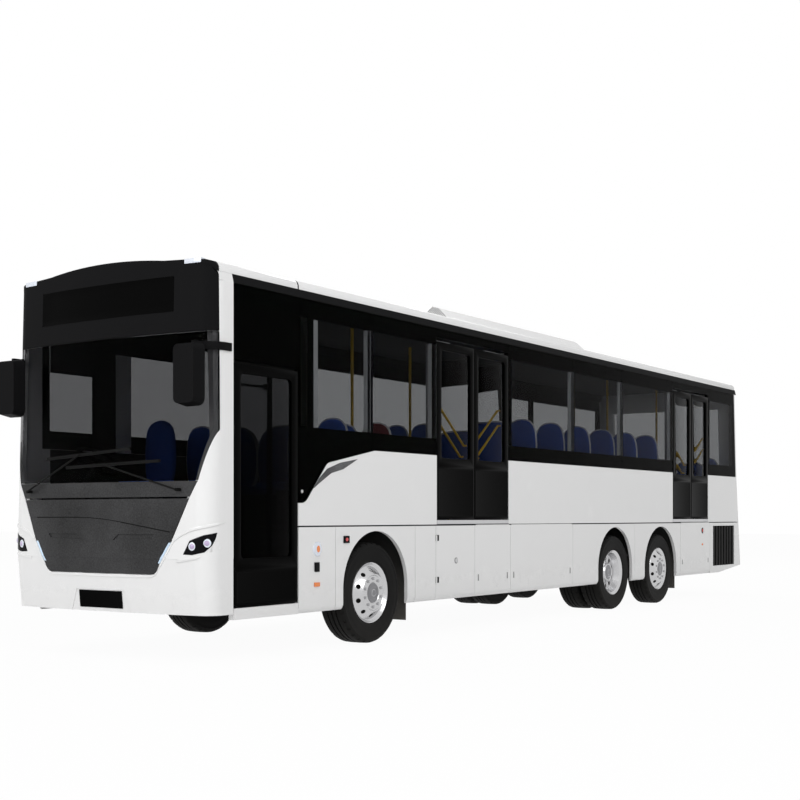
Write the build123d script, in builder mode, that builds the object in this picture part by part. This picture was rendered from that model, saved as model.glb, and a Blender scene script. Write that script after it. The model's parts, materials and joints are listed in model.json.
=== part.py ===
import os
from math import atan2, degrees, hypot, sqrt

from build123d import *

# Three-axle high-platform bus. Millimetres; +X is forward, +Y is the left (door) side, +Z is up,
# and the wheels stand on Z = 0.

# Body lengths and heights
half_width = 1250.0
front_axle_x = 4070.0
nose_x = front_axle_x + 2530.0
pillar_x = front_axle_x + 2121.0
corner_x = front_axle_x + 2293.0
drive_axle_x = front_axle_x - 5740.0
tag_axle_x = front_axle_x - 7300.0
rear_foot_x = front_axle_x - 10750.0
rear_belt_x = front_axle_x - 10560.0
rear_top_x = front_axle_x - 10470.0
sill_z = 370.0
rear_sill_z = 460.0
bumper_z = 900.0
waist_z = 1175.0
belt_z = 1924.0
window_sill_z = 2100.0
window_head_z = 3115.0
cantrail_z = 3290.0
shoulder_z = 3410.0
shoulder_y = 1190.0
crown_z = 3530.0

# Walls, seams and clearances
wall = 60.0
skirt_t = 40.0
glass_t = 10.0
skin_t = 20.0
roof_t = 40.0
seam = 6.0
waist_seam = 14.0
fit = 0.3
running = 0.05
proud = 1.0

# Front face
bow_half = 1100.0
bow_depth = 67.0
top_lean = 78.0
foot_tuck = 45.0
front_foot_z = 420.0
front_top_z = 3560.0
flange = 40.0
crease = 2.0
lean_spare = 80.0
panel_foot_z = 759.0
cowl_foot_z = 1437.0
screen_foot_z = 1574.0
header_foot_z = 2850.0
# height, half width of the dark field in the white mask
field_edge = ((panel_foot_z, 690.0), (861.0, 740.0), (1042.0, 860.0), (cowl_foot_z, 1050.0),
              (screen_foot_z, 1128.0), (2060.0, half_width + 12.0), (front_top_z + 40.0, half_width + 12.0))
field_corner_r = 90.0
sign_half, sign_foot_z, sign_top_z = 835.0, 3036.0, 3343.0
# y and z of the groove across the service panel, which falls towards the door side
lid_line = ((-1000.0, 1257.0), (0.0, 1257.0), (1000.0, 1108.0))
lid_line_r = 4000.0
groove_w, groove_depth = 7.0, 4.0
# y and z of one scoop in the service panel, and of the number plate's recess in the bumper
scoop_outline = ((672.0, 1112.0), (255.0, 1112.0), (190.0, 1060.0), (640.0, 1076.0))
scoop_depth = 9.0
plate_outline = ((-390.0, front_foot_z - 20), (390.0, front_foot_z - 20), (305.0, 615.0), (-305.0, 615.0))
plate_depth = 8.0
day_lamp_z, day_lamp_w = (861.0, 1042.0), 24.0
lamp_outline = ((1002.0, 940.0), (1045.0, 1005.0), (1262.0, 1062.0), (1262.0, 985.0), (1190.0, 945.0))

# Wheels and axles
tyre_r = 505.0
hub_z = tyre_r
tyre_half = 147.0
bead_r = 300.0
track_half = 1067.0
twin_step = 330.0
spindle_r = 45.0
kingpin_y = 897.0
kingpin_r = 25.0
boss_half = 50.0
boss_foot_z, boss_top_z = 440.0, 570.0
ear_t = 50.0
knuckle_web_y = 975.0
knuckle_web_t = 30.0

# Underframe
rail_y, rail_w = 380.0, 70.0
rail_foot_z, rail_top_z = 660.0, 900.0
deck_z, deck_t = 1190.0, 40.0
cross_t = 60.0
post_foot_z = 400.0

# Doors: low x, high x of each opening in the left side
front_door = (front_axle_x + 1225.0, pillar_x)
mid_door = (front_axle_x - 2735.0, front_axle_x - 1160.0)
rear_door = (front_axle_x - 9190.0, front_axle_x - 7740.0)
leaf_t = 40.0
door_sill_z = 1230.0
door_head_z = 3190.0
door_gap = 10.0
leaf_foot_z, leaf_top_z = door_sill_z + 8.0, 3150.0
pillar_y = 1150.0
pillar_r = 20.0
pillar_inset = 30.0
arm_t = 20.0
arm_half = 18.0
pin_r = 9.0
closing_gap = 8.0
closing_short = 40.0
front_leaf_foot_z, front_leaf_top_z = 480.0, 2600.0
front_head_z = 2625.0
front_post = (pillar_x - 101.0, 1120.0)
front_pin = (pillar_x - 521.0, 1180.0)

# Skirt seams along the sides, measured from the front axle
seam_x = {name: front_axle_x + offset for name, offset in (
    ("a", 654.0), ("b", -735.0), ("c", -1140.0), ("d", -1958.0), ("e", -2780.0),
    ("f", -4414.0), ("g", -6354.0), ("h", -8043.0), ("i", -9270.0))}
# wheel arches: centre x, half width
arches = ((front_axle_x - 30.0, 560.0), (drive_axle_x + 26.0, 548.0), (tag_axle_x + 10.0, 590.0))
arch_top_z = 1122.0


def span(a, b):
    return (min(a, b), max(a, b))


def block(x, y, z, mode=Mode.ADD):
    with Locations(((x[0] + x[1]) / 2, (y[0] + y[1]) / 2, (z[0] + z[1]) / 2)):
        Box(x[1] - x[0], y[1] - y[0], z[1] - z[0], mode=mode)


def side_plate(outline, y, mode=Mode.ADD):
    with BuildSketch(Plane.XZ.offset(-y[1])) as section:
        with BuildLine():
            Polyline(*outline, close=True)
        make_face()
    extrude(section.sketch, amount=y[1] - y[0], mode=mode)


def front_plate(outline, x, mode=Mode.ADD, foot_r=0.0):
    """A plate with an outline in front view, its lowest corners rounded by foot_r."""
    with BuildSketch(Plane.YZ.offset(x[0])) as section:
        with BuildLine():
            Polyline(*outline, close=True)
        make_face()
        if foot_r:
            fillet(section.vertices().group_by(Axis.Y)[0], radius=foot_r)
    extrude(section.sketch, amount=x[1] - x[0], mode=mode)


def turned(x, y, outline, side=1, mode=Mode.ADD):
    with BuildSketch(Plane.YZ.offset(x)) as section:
        with BuildLine():
            Polyline(*[(y + side * along, hub_z + radius) for along, radius in outline], close=True)
        make_face()
    revolve(section.sketch, axis=Axis((x, y, hub_z), (0, 1, 0)), mode=mode)


def rod(start, end, radius, mode=Mode.ADD):
    run = Vector(*end) - Vector(*start)
    with BuildSketch(Plane(origin=start, z_dir=run)) as section:
        Circle(radius)
    extrude(section.sketch, amount=run.length, mode=mode)


def bar(start, end, width, thickness, mode=Mode.ADD):
    """A flat bar between two plan points, standing on edge height start[2]."""
    run = Vector(*end) - Vector(*start)
    middle = (Vector(*start) + Vector(*end)) / 2
    with Locations(Location(tuple(middle), (0, 0, degrees(atan2(run.Y, run.X))))):
        Box(run.length, width, thickness, mode=mode)


def rear_face_x(z):
    if z < belt_z:
        return rear_foot_x + (rear_belt_x - rear_foot_x) * (z - rear_sill_z) / (belt_z - rear_sill_z)
    return rear_belt_x + (rear_top_x - rear_belt_x) * (z - belt_z) / (cantrail_z - belt_z)


def field_half(z):
    for (low_z, low_y), (high_z, high_y) in zip(field_edge, field_edge[1:]):
        if low_z <= z <= high_z:
            return low_y + (high_y - low_y) * (z - low_z) / (high_z - low_z)


def field_outline(foot_z, top_z, gap):
    """The part of the dark field between two heights, in front view, drawn in by a gap at its sides."""
    heights = [foot_z] + [z for z, _ in field_edge if foot_z < z < top_z] + [top_z]
    left = [(field_half(z) - gap, z) for z in heights]
    return left + [(-y, z) for y, z in reversed(left)]


def front_prism(inset, back_x, end_z, run):
    """The inside of the front's skin from the bumper line to another height, leaning by run."""
    rise = end_z - bumper_z
    across = (abs(rise), 0, -run * rise / abs(rise))
    lean = Plane(origin=(nose_x, 0, bumper_z), x_dir=across, z_dir=(run, 0, rise))
    with BuildPart() as prism:
        with BuildSketch(lean) as section:
            with BuildLine():
                bow = ThreePointArc((-bow_depth, -bow_half), (0, 0), (-bow_depth, bow_half))
                left = TangentArc(bow @ 1, (corner_x - nose_x, half_width), tangent=bow % 1)
                right = TangentArc(bow @ 0, (corner_x - nose_x, -half_width), tangent=(bow % 0) * -1)
                back = back_x - nose_x
                Polyline(left @ 1, (back, half_width), (back, -half_width), right @ 1)
            make_face()
            if inset:
                offset(amount=-inset, mode=Mode.REPLACE)
        extrude(section.sketch, amount=hypot(run, rise) + lean_spare)
        extrude(section.sketch, amount=-lean_spare)
        block((back_x - lean_spare, nose_x + lean_spare), (-half_width - lean_spare, half_width + lean_spare),
              span(bumper_z, end_z), Mode.INTERSECT)
    return prism.part


def front_solid(inset, back_x):
    """The whole front inside its skin, creased at the bumper line."""
    with BuildPart() as solid:
        add(front_prism(inset, back_x, front_top_z, -top_lean))
        add(front_prism(inset + crease, back_x, front_foot_z, -foot_tuck))
    return solid.part


def front_shell(outer, inner):
    """The wall of the front between two depths below its skin, open to the rear."""
    outside = front_solid(outer, pillar_x - 100)
    inside = front_solid(inner, pillar_x - 300)
    with BuildPart() as shell:
        add(outside)
        add(inside, mode=Mode.SUBTRACT)
    return shell.part


def front_field(skin, outlines):
    """The part of a front shell that lies inside some front-view outlines."""
    with BuildPart() as field:
        add(skin)
        with BuildSketch(Plane.YZ.offset(corner_x + fit)) as fields:
            for outline in outlines:
                with BuildLine():
                    Polyline(*outline, close=True)
                make_face()
        extrude(fields.sketch, amount=nose_x + lean_spare - corner_x, mode=Mode.INTERSECT)
    return field.part


def both_sides(outline):
    """An outline at the left and its mirror image at the right."""
    return [[(side * y, z) for y, z in outline] for side in (1, -1)]


def front_face_x(y, z):
    """x of the front's skin above the bumper line."""
    bow_r = (bow_half ** 2 + bow_depth ** 2) / (2 * bow_depth)
    return nose_x - top_lean * (z - bumper_z) / (front_top_z - bumper_z) - (bow_r - sqrt(bow_r ** 2 - y ** 2))


def finish(part, node):
    part.part.label = node
    export_step(part.part, f"parts/{node}.step")


os.makedirs("parts", exist_ok=True)

# Wheels: a tyre on a rim with its drum; the drive axle has two a side on one hub.
tyre_outline = ((-tyre_half, bead_r), (-tyre_half, tyre_r), (tyre_half, tyre_r), (tyre_half, bead_r))
rim_r = bead_r - fit
rim_edge = 123.0
hub_face = 172.0
steer_rim = ((-110.0, rim_r), (rim_edge, rim_r), (rim_edge, 270.0), (104.0, 270.0), (104.0, 255.0), (hub_face, 185.0),
             (hub_face, 0.0), (90.0, 0.0), (90.0, spindle_r + running), (-40.0, spindle_r + running),
             (-40.0, 265.0), (-110.0, 265.0))
tag_rim = ((-110.0, rim_r), (rim_edge, rim_r), (rim_edge, 270.0), (104.0, 270.0), (104.0, 255.0), (hub_face, 185.0),
           (hub_face, 0.0), (90.0, 0.0), (90.0, spindle_r + running), (-110.0, spindle_r + running))
twin_rim = ((-110.0 - twin_step, rim_r), (rim_edge, rim_r), (rim_edge, 270.0), (20.0, 240.0), (20.0, 120.0),
            (70.0, 120.0), (70.0, 0.0), (0.0, 0.0), (0.0, spindle_r + running),
            (-110.0 - twin_step, spindle_r + running))
# node, axle x, rim outline, tyre offsets along the axle
wheels = (("front", front_axle_x, steer_rim, (0.0,)), ("drive", drive_axle_x, twin_rim, (0.0, -twin_step)),
          ("tag", tag_axle_x, tag_rim, (0.0,)))
for wheel, axle_x, rim_outline, tyre_offsets in wheels:
    for side_name, side in (("left", 1), ("right", -1)):
        with BuildPart() as tyre:
            for along in tyre_offsets:
                turned(axle_x, side * (track_half + along), tyre_outline, side)
        finish(tyre, f"{wheel}_{side_name}_tyre")
        with BuildPart() as rim:
            turned(axle_x, side * track_half, rim_outline, side)
        finish(rim, f"{wheel}_{side_name}_rim")

# Front axle: a dropped beam with a bored boss for each kingpin, and the two air springs on it.
spring_r = 120.0
with BuildPart() as front_axle_beam:
    block((front_axle_x - 45, front_axle_x + 45), (-780, 780), (380, 470))
    for side in (1, -1):
        block((front_axle_x - boss_half, front_axle_x + boss_half),
              span(side * 760, side * (kingpin_y + boss_half)), (boss_foot_z, boss_top_z))
        block((front_axle_x - 45, front_axle_x + 45), span(side * 700, side * 780), (380, boss_top_z))
        rod((front_axle_x, side * kingpin_y, boss_foot_z), (front_axle_x, side * kingpin_y, boss_top_z),
            kingpin_r + running, Mode.SUBTRACT)
        rod((front_axle_x, side * rail_y, 470), (front_axle_x, side * rail_y, rail_foot_z), spring_r)
finish(front_axle_beam, "front_axle_beam")

for side_name, side in (("left", 1), ("right", -1)):
    with BuildPart() as knuckle:
        ear_y = span(side * (kingpin_y - boss_half), side * (knuckle_web_y + knuckle_web_t))
        ear_x = (front_axle_x - boss_half, front_axle_x + boss_half)
        block(ear_x, ear_y, (boss_top_z + fit, boss_top_z + fit + ear_t))
        block(ear_x, ear_y, (boss_foot_z - fit - ear_t, boss_foot_z - fit))
        block(ear_x, span(side * knuckle_web_y, side * (knuckle_web_y + knuckle_web_t)),
              (boss_foot_z - fit - ear_t, boss_top_z + fit + ear_t))
        rod((front_axle_x, side * kingpin_y, boss_foot_z - fit - ear_t / 2),
            (front_axle_x, side * kingpin_y, boss_top_z + fit + ear_t / 2), kingpin_r)
        rod((front_axle_x, side * knuckle_web_y, hub_z), (front_axle_x, side * (track_half + 88), hub_z), spindle_r)
    finish(knuckle, f"knuckle_{side_name}")

# Drive axle: housing with a differential bowl, spindles into the hubs, two air springs a side.
axle_tube_r = 75.0
with BuildPart() as drive_axle:
    tube_end = track_half - twin_step - 115.0
    rod((drive_axle_x, -tube_end, hub_z), (drive_axle_x, tube_end, hub_z), axle_tube_r)
    rod((drive_axle_x, -track_half + 2, hub_z), (drive_axle_x, track_half - 2, hub_z), spindle_r)
    rod((drive_axle_x - 190, 0, hub_z), (drive_axle_x + 190, 0, hub_z), 190)
    for side in (1, -1):
        block((drive_axle_x - 360, drive_axle_x + 360), span(side * 330, side * 440), (hub_z - 60, hub_z + 40))
        rod((drive_axle_x + 300, side * 385, hub_z + 40), (drive_axle_x + 300, side * 385, rail_foot_z), spring_r)
finish(drive_axle, "drive_axle")

with BuildPart() as tag_axle:
    tag_end = track_half - 115.0
    block((tag_axle_x - 55, tag_axle_x + 55), (-tag_end, tag_end), (hub_z - 55, hub_z + 55))
    rod((tag_axle_x, -track_half - 88, hub_z), (tag_axle_x, track_half + 88, hub_z), spindle_r)
    for side in (1, -1):
        rod((tag_axle_x, side * 415, hub_z + 50), (tag_axle_x, side * 415, rail_foot_z), spring_r)
finish(tag_axle, "tag_axle")

# Chassis: two rails with cross members, and cross frames under the floor that end in the skirt posts.
chassis_x = (front_axle_x - 10320.0, front_axle_x + 2080.0)
# towing eye under the first cross member
tow_x, tow_z = chassis_x[1] - 30.0, 590.0
tow_t, tow_r = 36.0, 20.0
post_y = half_width - skirt_t
frame_stations = (front_door[0] - 60, seam_x["a"], seam_x["b"], seam_x["c"] - 30, seam_x["d"], seam_x["e"],
                  seam_x["f"], seam_x["g"], seam_x["h"], seam_x["i"] - 40)
with BuildPart() as chassis_frame:
    for side in (1, -1):
        block(chassis_x, span(side * rail_y, side * (rail_y + rail_w)), (rail_foot_z, rail_top_z))
    for x in (chassis_x[0] + 40, -4300, tag_axle_x + 700, 600, 2500, front_axle_x - 700, front_axle_x + 700,
              chassis_x[1] - 40):
        block((x - 40, x + 40), (-rail_y + fit, rail_y - fit), (rail_foot_z + 30, rail_top_z - 30))
    side_plate(((tow_x - 60, tow_z - 50), (tow_x - 60, rail_foot_z + 40), (tow_x + 10, rail_foot_z + 40),
                (tow_x + 50, tow_z + 30), (tow_x + 50, tow_z - 50)), (-tow_t / 2, tow_t / 2))
    rod((tow_x, -tow_t, tow_z), (tow_x, tow_t, tow_z), tow_r, Mode.SUBTRACT)
    for x in frame_stations:
        station = (x - cross_t / 2, x + cross_t / 2)
        block(station, (-post_y, post_y), (rail_top_z + fit, deck_z - deck_t))
        for side in (1, -1):
            block(station, span(side * (post_y - cross_t), side * post_y), (post_foot_z, rail_top_z))
finish(chassis_frame, "chassis_frame")

with BuildPart() as engine_block:
    block((-6150, -4500), (-rail_y, rail_y), (480, rail_top_z))
finish(engine_block, "engine_block")

# Floor: deck, folded steps inside the front door, and the raised podests over the rear axles.
inner_y = half_width - wall
step_run, step_rise, step_t = 285.0, 240.0, 30.0
well_y = inner_y - 3 * step_run
podest_z = 1420.0
podest_y = 330.0
podest_x = (rear_door[1] + 220, mid_door[0] - 240)
deck_front_x = front_axle_x + 2180.0
deck_rear_x = rear_face_x(deck_z) + 120
with BuildPart() as floor_deck:
    block((deck_rear_x, front_door[0] - step_t), (-inner_y, inner_y), (deck_z - deck_t, deck_z))
    block((front_door[0] - step_t + fit, deck_front_x), (-inner_y, well_y - step_t - fit),
          (deck_z - deck_t, deck_z))
    stair = [(well_y, deck_z)]
    for n in range(3):
        stair += [(well_y + n * step_run, deck_z - (n + 1) * step_rise),
                  (well_y + (n + 1) * step_run, deck_z - (n + 1) * step_rise)]
    stair += [(y - step_t, z - step_t) for y, z in reversed(stair[:-1])]
    stair.insert(len(stair) // 2 + 1, (inner_y, stair[len(stair) // 2][1] - step_t))
    front_plate(stair, (front_door[0] + fit, front_door[1] - fit))
    for x in ((front_door[0] - step_t, front_door[0]), (front_door[1], front_door[1] + step_t)):
        block(x, (rail_y + rail_w + 30, inner_y - crease - fit),
              (deck_z - 3 * step_rise - step_t, deck_z - deck_t - fit))
    for side in (1, -1):
        block(podest_x, span(side * podest_y, side * inner_y), (deck_z + fit, podest_z))
    for low_x, high_x in (mid_door, rear_door):
        block((low_x + fit, high_x - fit), (inner_y + fit, half_width), (waist_z + waist_seam / 2, door_sill_z))
finish(floor_deck, "floor_deck")

# Wheelhouse plates ahead of and behind each wheel, with a rubber flap under the rear ones.
house_y = (540.0, post_y)
house_t = 8.0
flap_foot_z = 190.0
# x of each plate
house_x = (front_axle_x + 610, front_axle_x - 620, drive_axle_x + 530, tag_axle_x - 610)
# x of the inner walls between the plates, clear of the cross frame between the rear axles
house_gap = house_t / 2 + fit
house_walls = ((house_x[1] + house_gap, house_x[0] - house_gap),
               (house_x[3] + house_gap, seam_x["g"] - cross_t / 2 - fit),
               (seam_x["g"] + cross_t / 2 + fit, house_x[2] - house_gap))
house_wall_foot_z = 700.0
with BuildPart() as wheelhouse_plates:
    for x in house_x:
        for side in (1, -1):
            block((x - house_t / 2, x + house_t / 2), span(side * house_y[0], side * house_y[1]),
                  (sill_z + 20, deck_z - deck_t))
    for low_x, high_x in house_walls:
        for side in (1, -1):
            block((low_x, high_x), span(side * house_y[0], side * (house_y[0] + house_t)),
                  (house_wall_foot_z, deck_z - deck_t))
    for x in (house_x[1], house_x[3]):
        for side in (1, -1):
            block((x - house_t / 2 - 6, x - house_t / 2 - fit), span(side * 900, side * (post_y - 5)),
                  (flap_foot_z, sill_z + 140))
finish(wheelhouse_plates, "wheelhouse_plates")

# Front: mask, service panel, cowl, screen, header and sign are cut from one bowed wall.
front_x = (corner_x + fit, nose_x + 100)
back_of_front_x = pillar_x + seam / 2
cantrail_outline = ((half_width, cantrail_z), (half_width - 18.0, 3365.0), (shoulder_y, shoulder_z),
                    (shoulder_y - wall, shoulder_z), (inner_y, cantrail_z))
lamp_back_x = corner_x + 20.0
frame_wall = front_shell(skin_t, wall)
mask_wall = front_shell(0, skin_t)
cover_t = skin_t - fit
cover_wall = front_shell(0, cover_t)
with BuildPart() as mask_frame:
    add(frame_wall)
    front_plate(field_outline(panel_foot_z + flange, front_top_z + 20, flange), (corner_x + flange, nose_x + 100),
                Mode.SUBTRACT, field_corner_r - flange)
    block((back_of_front_x - wall, nose_x + 100), (-half_width - 10, half_width + 10), (cantrail_z, front_top_z + 50),
          Mode.SUBTRACT)

plate_recess = front_field(front_shell(-proud, plate_depth), [plate_outline])
with BuildPart() as front_mask:
    add(mask_wall)
    front_plate(field_outline(panel_foot_z, front_top_z + 20, 0), front_x, Mode.SUBTRACT, field_corner_r)
    add(plate_recess, mode=Mode.SUBTRACT)
    block((back_of_front_x - wall, nose_x + 100), (-half_width - 10, half_width + 10), (cantrail_z, front_top_z + 50),
          Mode.SUBTRACT)
    for side in (1, -1):
        front_plate([(side * y, z) for y, z in lamp_outline], (lamp_back_x, nose_x), Mode.SUBTRACT)
        front_plate([(side * y, z) for y, z in cantrail_outline], (back_of_front_x, corner_x))
    add(mask_frame.part)
    block((pillar_x - 300, back_of_front_x), (-half_width - 10, half_width + 10), (0, front_top_z + 50), Mode.SUBTRACT)
finish(front_mask, "front_mask")

lid_gap = 16.0
lid_hinge_x = nose_x - 96.0
lid_hinge_z = cowl_foot_z + 123.0
lid_arm_y = 400.0
lid_arm_half = 15.0
lid_pin_r = 8.0
# swan neck of the panel's arms round the foot of the cowl, from the hinge
lid_arm = ((-12, 16), (14, 14), (14, -10), (-112, -64), (-128, -160), (-50, -216), (64, -222), (64, -262),
           (-62, -258), (-166, -172), (-158, -50))
# the daytime lamps' strips along the field's edge, and the notches for them in the service panel
day_lamp_outline = ([(field_half(z) - seam, z) for z in day_lamp_z]
                    + [(field_half(z) - seam - day_lamp_w, z) for z in reversed(day_lamp_z)])
notch_z = (day_lamp_z[0] - seam, day_lamp_z[1] + seam)
notch_outline = ([(field_half(z) + seam, z) for z in notch_z]
                 + [(field_half(z) - 2 * seam - day_lamp_w, z) for z in reversed(notch_z)])
scoops = front_field(front_shell(-proud, scoop_depth), both_sides(scoop_outline))
groove_wall = front_shell(-proud, groove_depth)
with BuildPart() as lid_groove:
    add(groove_wall)
    with BuildSketch(Plane.YZ.offset(front_x[0])) as groove:
        with BuildLine():
            low_edge = FilletPolyline(*lid_line, radius=lid_line_r)
            high_edge = FilletPolyline(*[(y, z + groove_w) for y, z in lid_line], radius=lid_line_r)
            Line(low_edge @ 0, high_edge @ 0)
            Line(low_edge @ 1, high_edge @ 1)
        make_face()
    extrude(groove.sketch, amount=front_x[1] - front_x[0], mode=Mode.INTERSECT)

with BuildPart() as front_panel:
    add(cover_wall)
    front_plate(field_outline(panel_foot_z + seam, cowl_foot_z - lid_gap, seam), front_x, Mode.INTERSECT,
                field_corner_r - seam)
    add(lid_groove.part, mode=Mode.SUBTRACT)
    add(scoops, mode=Mode.SUBTRACT)
    for notch in both_sides(notch_outline):
        front_plate(notch, front_x, Mode.SUBTRACT)
    for side in (1, -1):
        arm_y = (side * lid_arm_y - lid_arm_half, side * lid_arm_y + lid_arm_half)
        side_plate([(lid_hinge_x + x, lid_hinge_z + z) for x, z in lid_arm], arm_y)
        rod((lid_hinge_x, arm_y[0], lid_hinge_z), (lid_hinge_x, arm_y[1], lid_hinge_z), lid_pin_r + running,
            Mode.SUBTRACT)
finish(front_panel, "front_panel")

lug_t = 12.0
with BuildPart() as wiper_cowl:
    add(cover_wall)
    front_plate(field_outline(cowl_foot_z, screen_foot_z - seam / 2, seam / 2), front_x, Mode.INTERSECT)
    for side in (1, -1):
        for lug_y in (side * lid_arm_y - lid_arm_half - lug_t - 1, side * lid_arm_y + lid_arm_half + 1):
            side_plate(((lid_hinge_x - 14, lid_hinge_z - 14), (lid_hinge_x - 14, screen_foot_z - 12),
                        (nose_x - 40, screen_foot_z - 12), (nose_x - 40, lid_hinge_z - 60)), (lug_y, lug_y + lug_t))
        rod((lid_hinge_x, side * lid_arm_y - lid_arm_half - lug_t, lid_hinge_z),
            (lid_hinge_x, side * lid_arm_y + lid_arm_half + lug_t, lid_hinge_z), lid_pin_r)
finish(wiper_cowl, "wiper_cowl")

with BuildPart() as windscreen:
    add(cover_wall)
    front_plate(field_outline(screen_foot_z + seam / 2, header_foot_z - seam / 2, seam / 2), front_x, Mode.INTERSECT)
finish(windscreen, "windscreen")

sign_depth = 8.0
sign_wall = front_shell(sign_depth, cover_t)
with BuildPart() as sign_panel:
    add(sign_wall)
    block(front_x, (-sign_half, sign_half), (sign_foot_z, sign_top_z), Mode.INTERSECT)

with BuildPart() as upper_trim:
    add(cover_wall)
    with BuildSketch(Plane.YZ.offset(front_x[0])) as header_field:
        with BuildLine():
            rise = ThreePointArc((shoulder_y, shoulder_z), (0, crown_z), (-shoulder_y, shoulder_z))
            Polyline(rise @ 1, (-half_width - 10, cantrail_z), (-half_width - 10, header_foot_z + seam / 2),
                     (half_width + 10, header_foot_z + seam / 2), (half_width + 10, cantrail_z), rise @ 0)
        make_face()
    extrude(header_field.sketch, amount=front_x[1] - front_x[0], mode=Mode.INTERSECT)
    block(front_x, (-sign_half, sign_half), (sign_foot_z, sign_top_z), Mode.SUBTRACT)
    add(sign_panel.part)
    for side in (1, -1):
        front_plate([(side * y, z) for y, z in cantrail_outline], (rear_top_x, back_of_front_x - seam))
finish(upper_trim, "upper_trim")

# Roof: crowned shell between the cantrails, which turn the black sides in to it.
crown_r = (shoulder_y ** 2 + (crown_z - shoulder_z) ** 2) / (2 * (crown_z - shoulder_z))


def roof_z(y):
    """Height of the roof's skin."""
    return crown_z - crown_r + sqrt(crown_r ** 2 - y ** 2)


# what lies in front of the header's inside, where the roof ends
with BuildPart() as roof_end:
    block((corner_x, nose_x + lean_spare), (-half_width, half_width), (cantrail_z, front_top_z))
    add(front_prism(cover_t + fit, pillar_x - 300, front_top_z, -top_lean), mode=Mode.SUBTRACT)

with BuildPart() as roof_shell:
    with BuildSketch(Plane.YZ.offset(rear_top_x)) as roof_section:
        with BuildLine():
            over = ThreePointArc((shoulder_y, shoulder_z), (0, crown_z), (-shoulder_y, shoulder_z))
            under = ThreePointArc((-shoulder_y + roof_t, shoulder_z), (0, crown_z - roof_t),
                                  (shoulder_y - roof_t, shoulder_z))
            Line(over @ 1, under @ 0)
            Line(under @ 1, over @ 0)
        make_face()
    extrude(roof_section.sketch, amount=nose_x - rear_top_x)
    add(roof_end.part, mode=Mode.SUBTRACT)
finish(roof_shell, "roof_shell")

pod_x = (front_axle_x - 5700.0, front_axle_x - 1500.0)
pod_half = 820.0
pod_top_z = 3720.0
pod_foot_z = roof_z(pod_half) + fit
pod_slope = ((pod_x[1] - 620, pod_top_z + 20), (pod_x[1] - 60, pod_foot_z + 60))
louvre_count = 9
louvre_w, louvre_depth, louvre_half = 24.0, 30.0, 620.0
with BuildPart() as roof_air_conditioner:
    with BuildSketch(Plane.YZ.offset(pod_x[0])) as pod_section:
        with BuildLine():
            seat = ThreePointArc((pod_half, pod_foot_z), (0, crown_z + fit), (-pod_half, pod_foot_z))
            Polyline(seat @ 1, (-pod_half + 20, pod_foot_z + 90))
            lid = ThreePointArc((-pod_half + 140, pod_top_z - 40), (0, pod_top_z), (pod_half - 140, pod_top_z - 40))
            Line((-pod_half + 20, pod_foot_z + 90), lid @ 0)
            Polyline(lid @ 1, (pod_half - 20, pod_foot_z + 90), seat @ 0)
        make_face()
    extrude(pod_section.sketch, amount=pod_x[1] - pod_x[0])
    side_plate(((pod_x[0], pod_foot_z - 60), (pod_x[0] + 40, pod_top_z - 60), (pod_x[0] + 240, pod_top_z + 20),
                *pod_slope, (pod_x[1], pod_foot_z - 60)), (-pod_half - 50, pod_half + 50), Mode.INTERSECT)
    for n in range(louvre_count):
        x, z = [top + (foot - top) * (n + 1) / (louvre_count + 1) for top, foot in zip(*pod_slope)]
        block((x - louvre_w / 2, x + louvre_w / 2), (-louvre_half, louvre_half), (z - louvre_depth, z + louvre_depth),
              Mode.SUBTRACT)
finish(roof_air_conditioner, "roof_air_conditioner")

# Sides: white waist panels, grey window frames behind bonded glass, split at the doors.
rear_seam = 100.0
skirt_top_z = waist_z - waist_seam / 2
panel_foot = waist_z + waist_seam / 2
swoosh = ((front_door[0], 1392.0), (front_door[0] - 105, 1392.0), (front_axle_x + 780, 1775.0), (front_axle_x, belt_z))
swoosh_r = 120.0


def rear_edge(foot_z, top_z):
    """Points of the slanting seam between the sides and the rear cap, from the foot up."""
    heights = [foot_z] + [z for z in (belt_z,) if foot_z < z < top_z] + [top_z]
    return [(rear_face_x(z) + rear_seam, z) for z in heights]


with BuildPart() as waist_panels:
    with BuildSketch(Plane.XZ.offset(-half_width)) as swoosh_panel:
        with BuildLine():
            FilletPolyline(*swoosh, radius=swoosh_r)
            Polyline(swoosh[-1], (mid_door[1], belt_z), (mid_door[1], panel_foot), (front_door[0], panel_foot),
                     swoosh[0])
        make_face()
    extrude(swoosh_panel.sketch, amount=wall)
    block((rear_door[1], mid_door[0]), (inner_y, half_width), (panel_foot, belt_z))
    side_plate(rear_edge(panel_foot, belt_z) + [(rear_door[0], belt_z), (rear_door[0], panel_foot)],
               (inner_y, half_width))
    side_plate(rear_edge(panel_foot, belt_z) + [(pillar_x, belt_z), (pillar_x, panel_foot)],
               (-half_width, -inner_y))
finish(waist_panels, "waist_panels")

glass_y = half_width - glass_t
post_half = 45.0
# window posts between the doors, by x
left_posts = (front_axle_x + 65.0, front_axle_x - 4425.0, front_axle_x - 5925.0)
right_post_pitch = 1500.0
right_posts = tuple(front_axle_x + 1130.0 - n * right_post_pitch for n in range(8))
frame_end = 90.0
left_fields = ((mid_door[1], front_door[0] - 150, (left_posts[0],)), (rear_door[1], mid_door[0], left_posts[1:]))
header_deep = 90.0


def post_edges(posts):
    """x of the posts' two edges, from the rear forward."""
    return [edge for post in sorted(posts) for edge in (post - post_half, post + post_half)]


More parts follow.
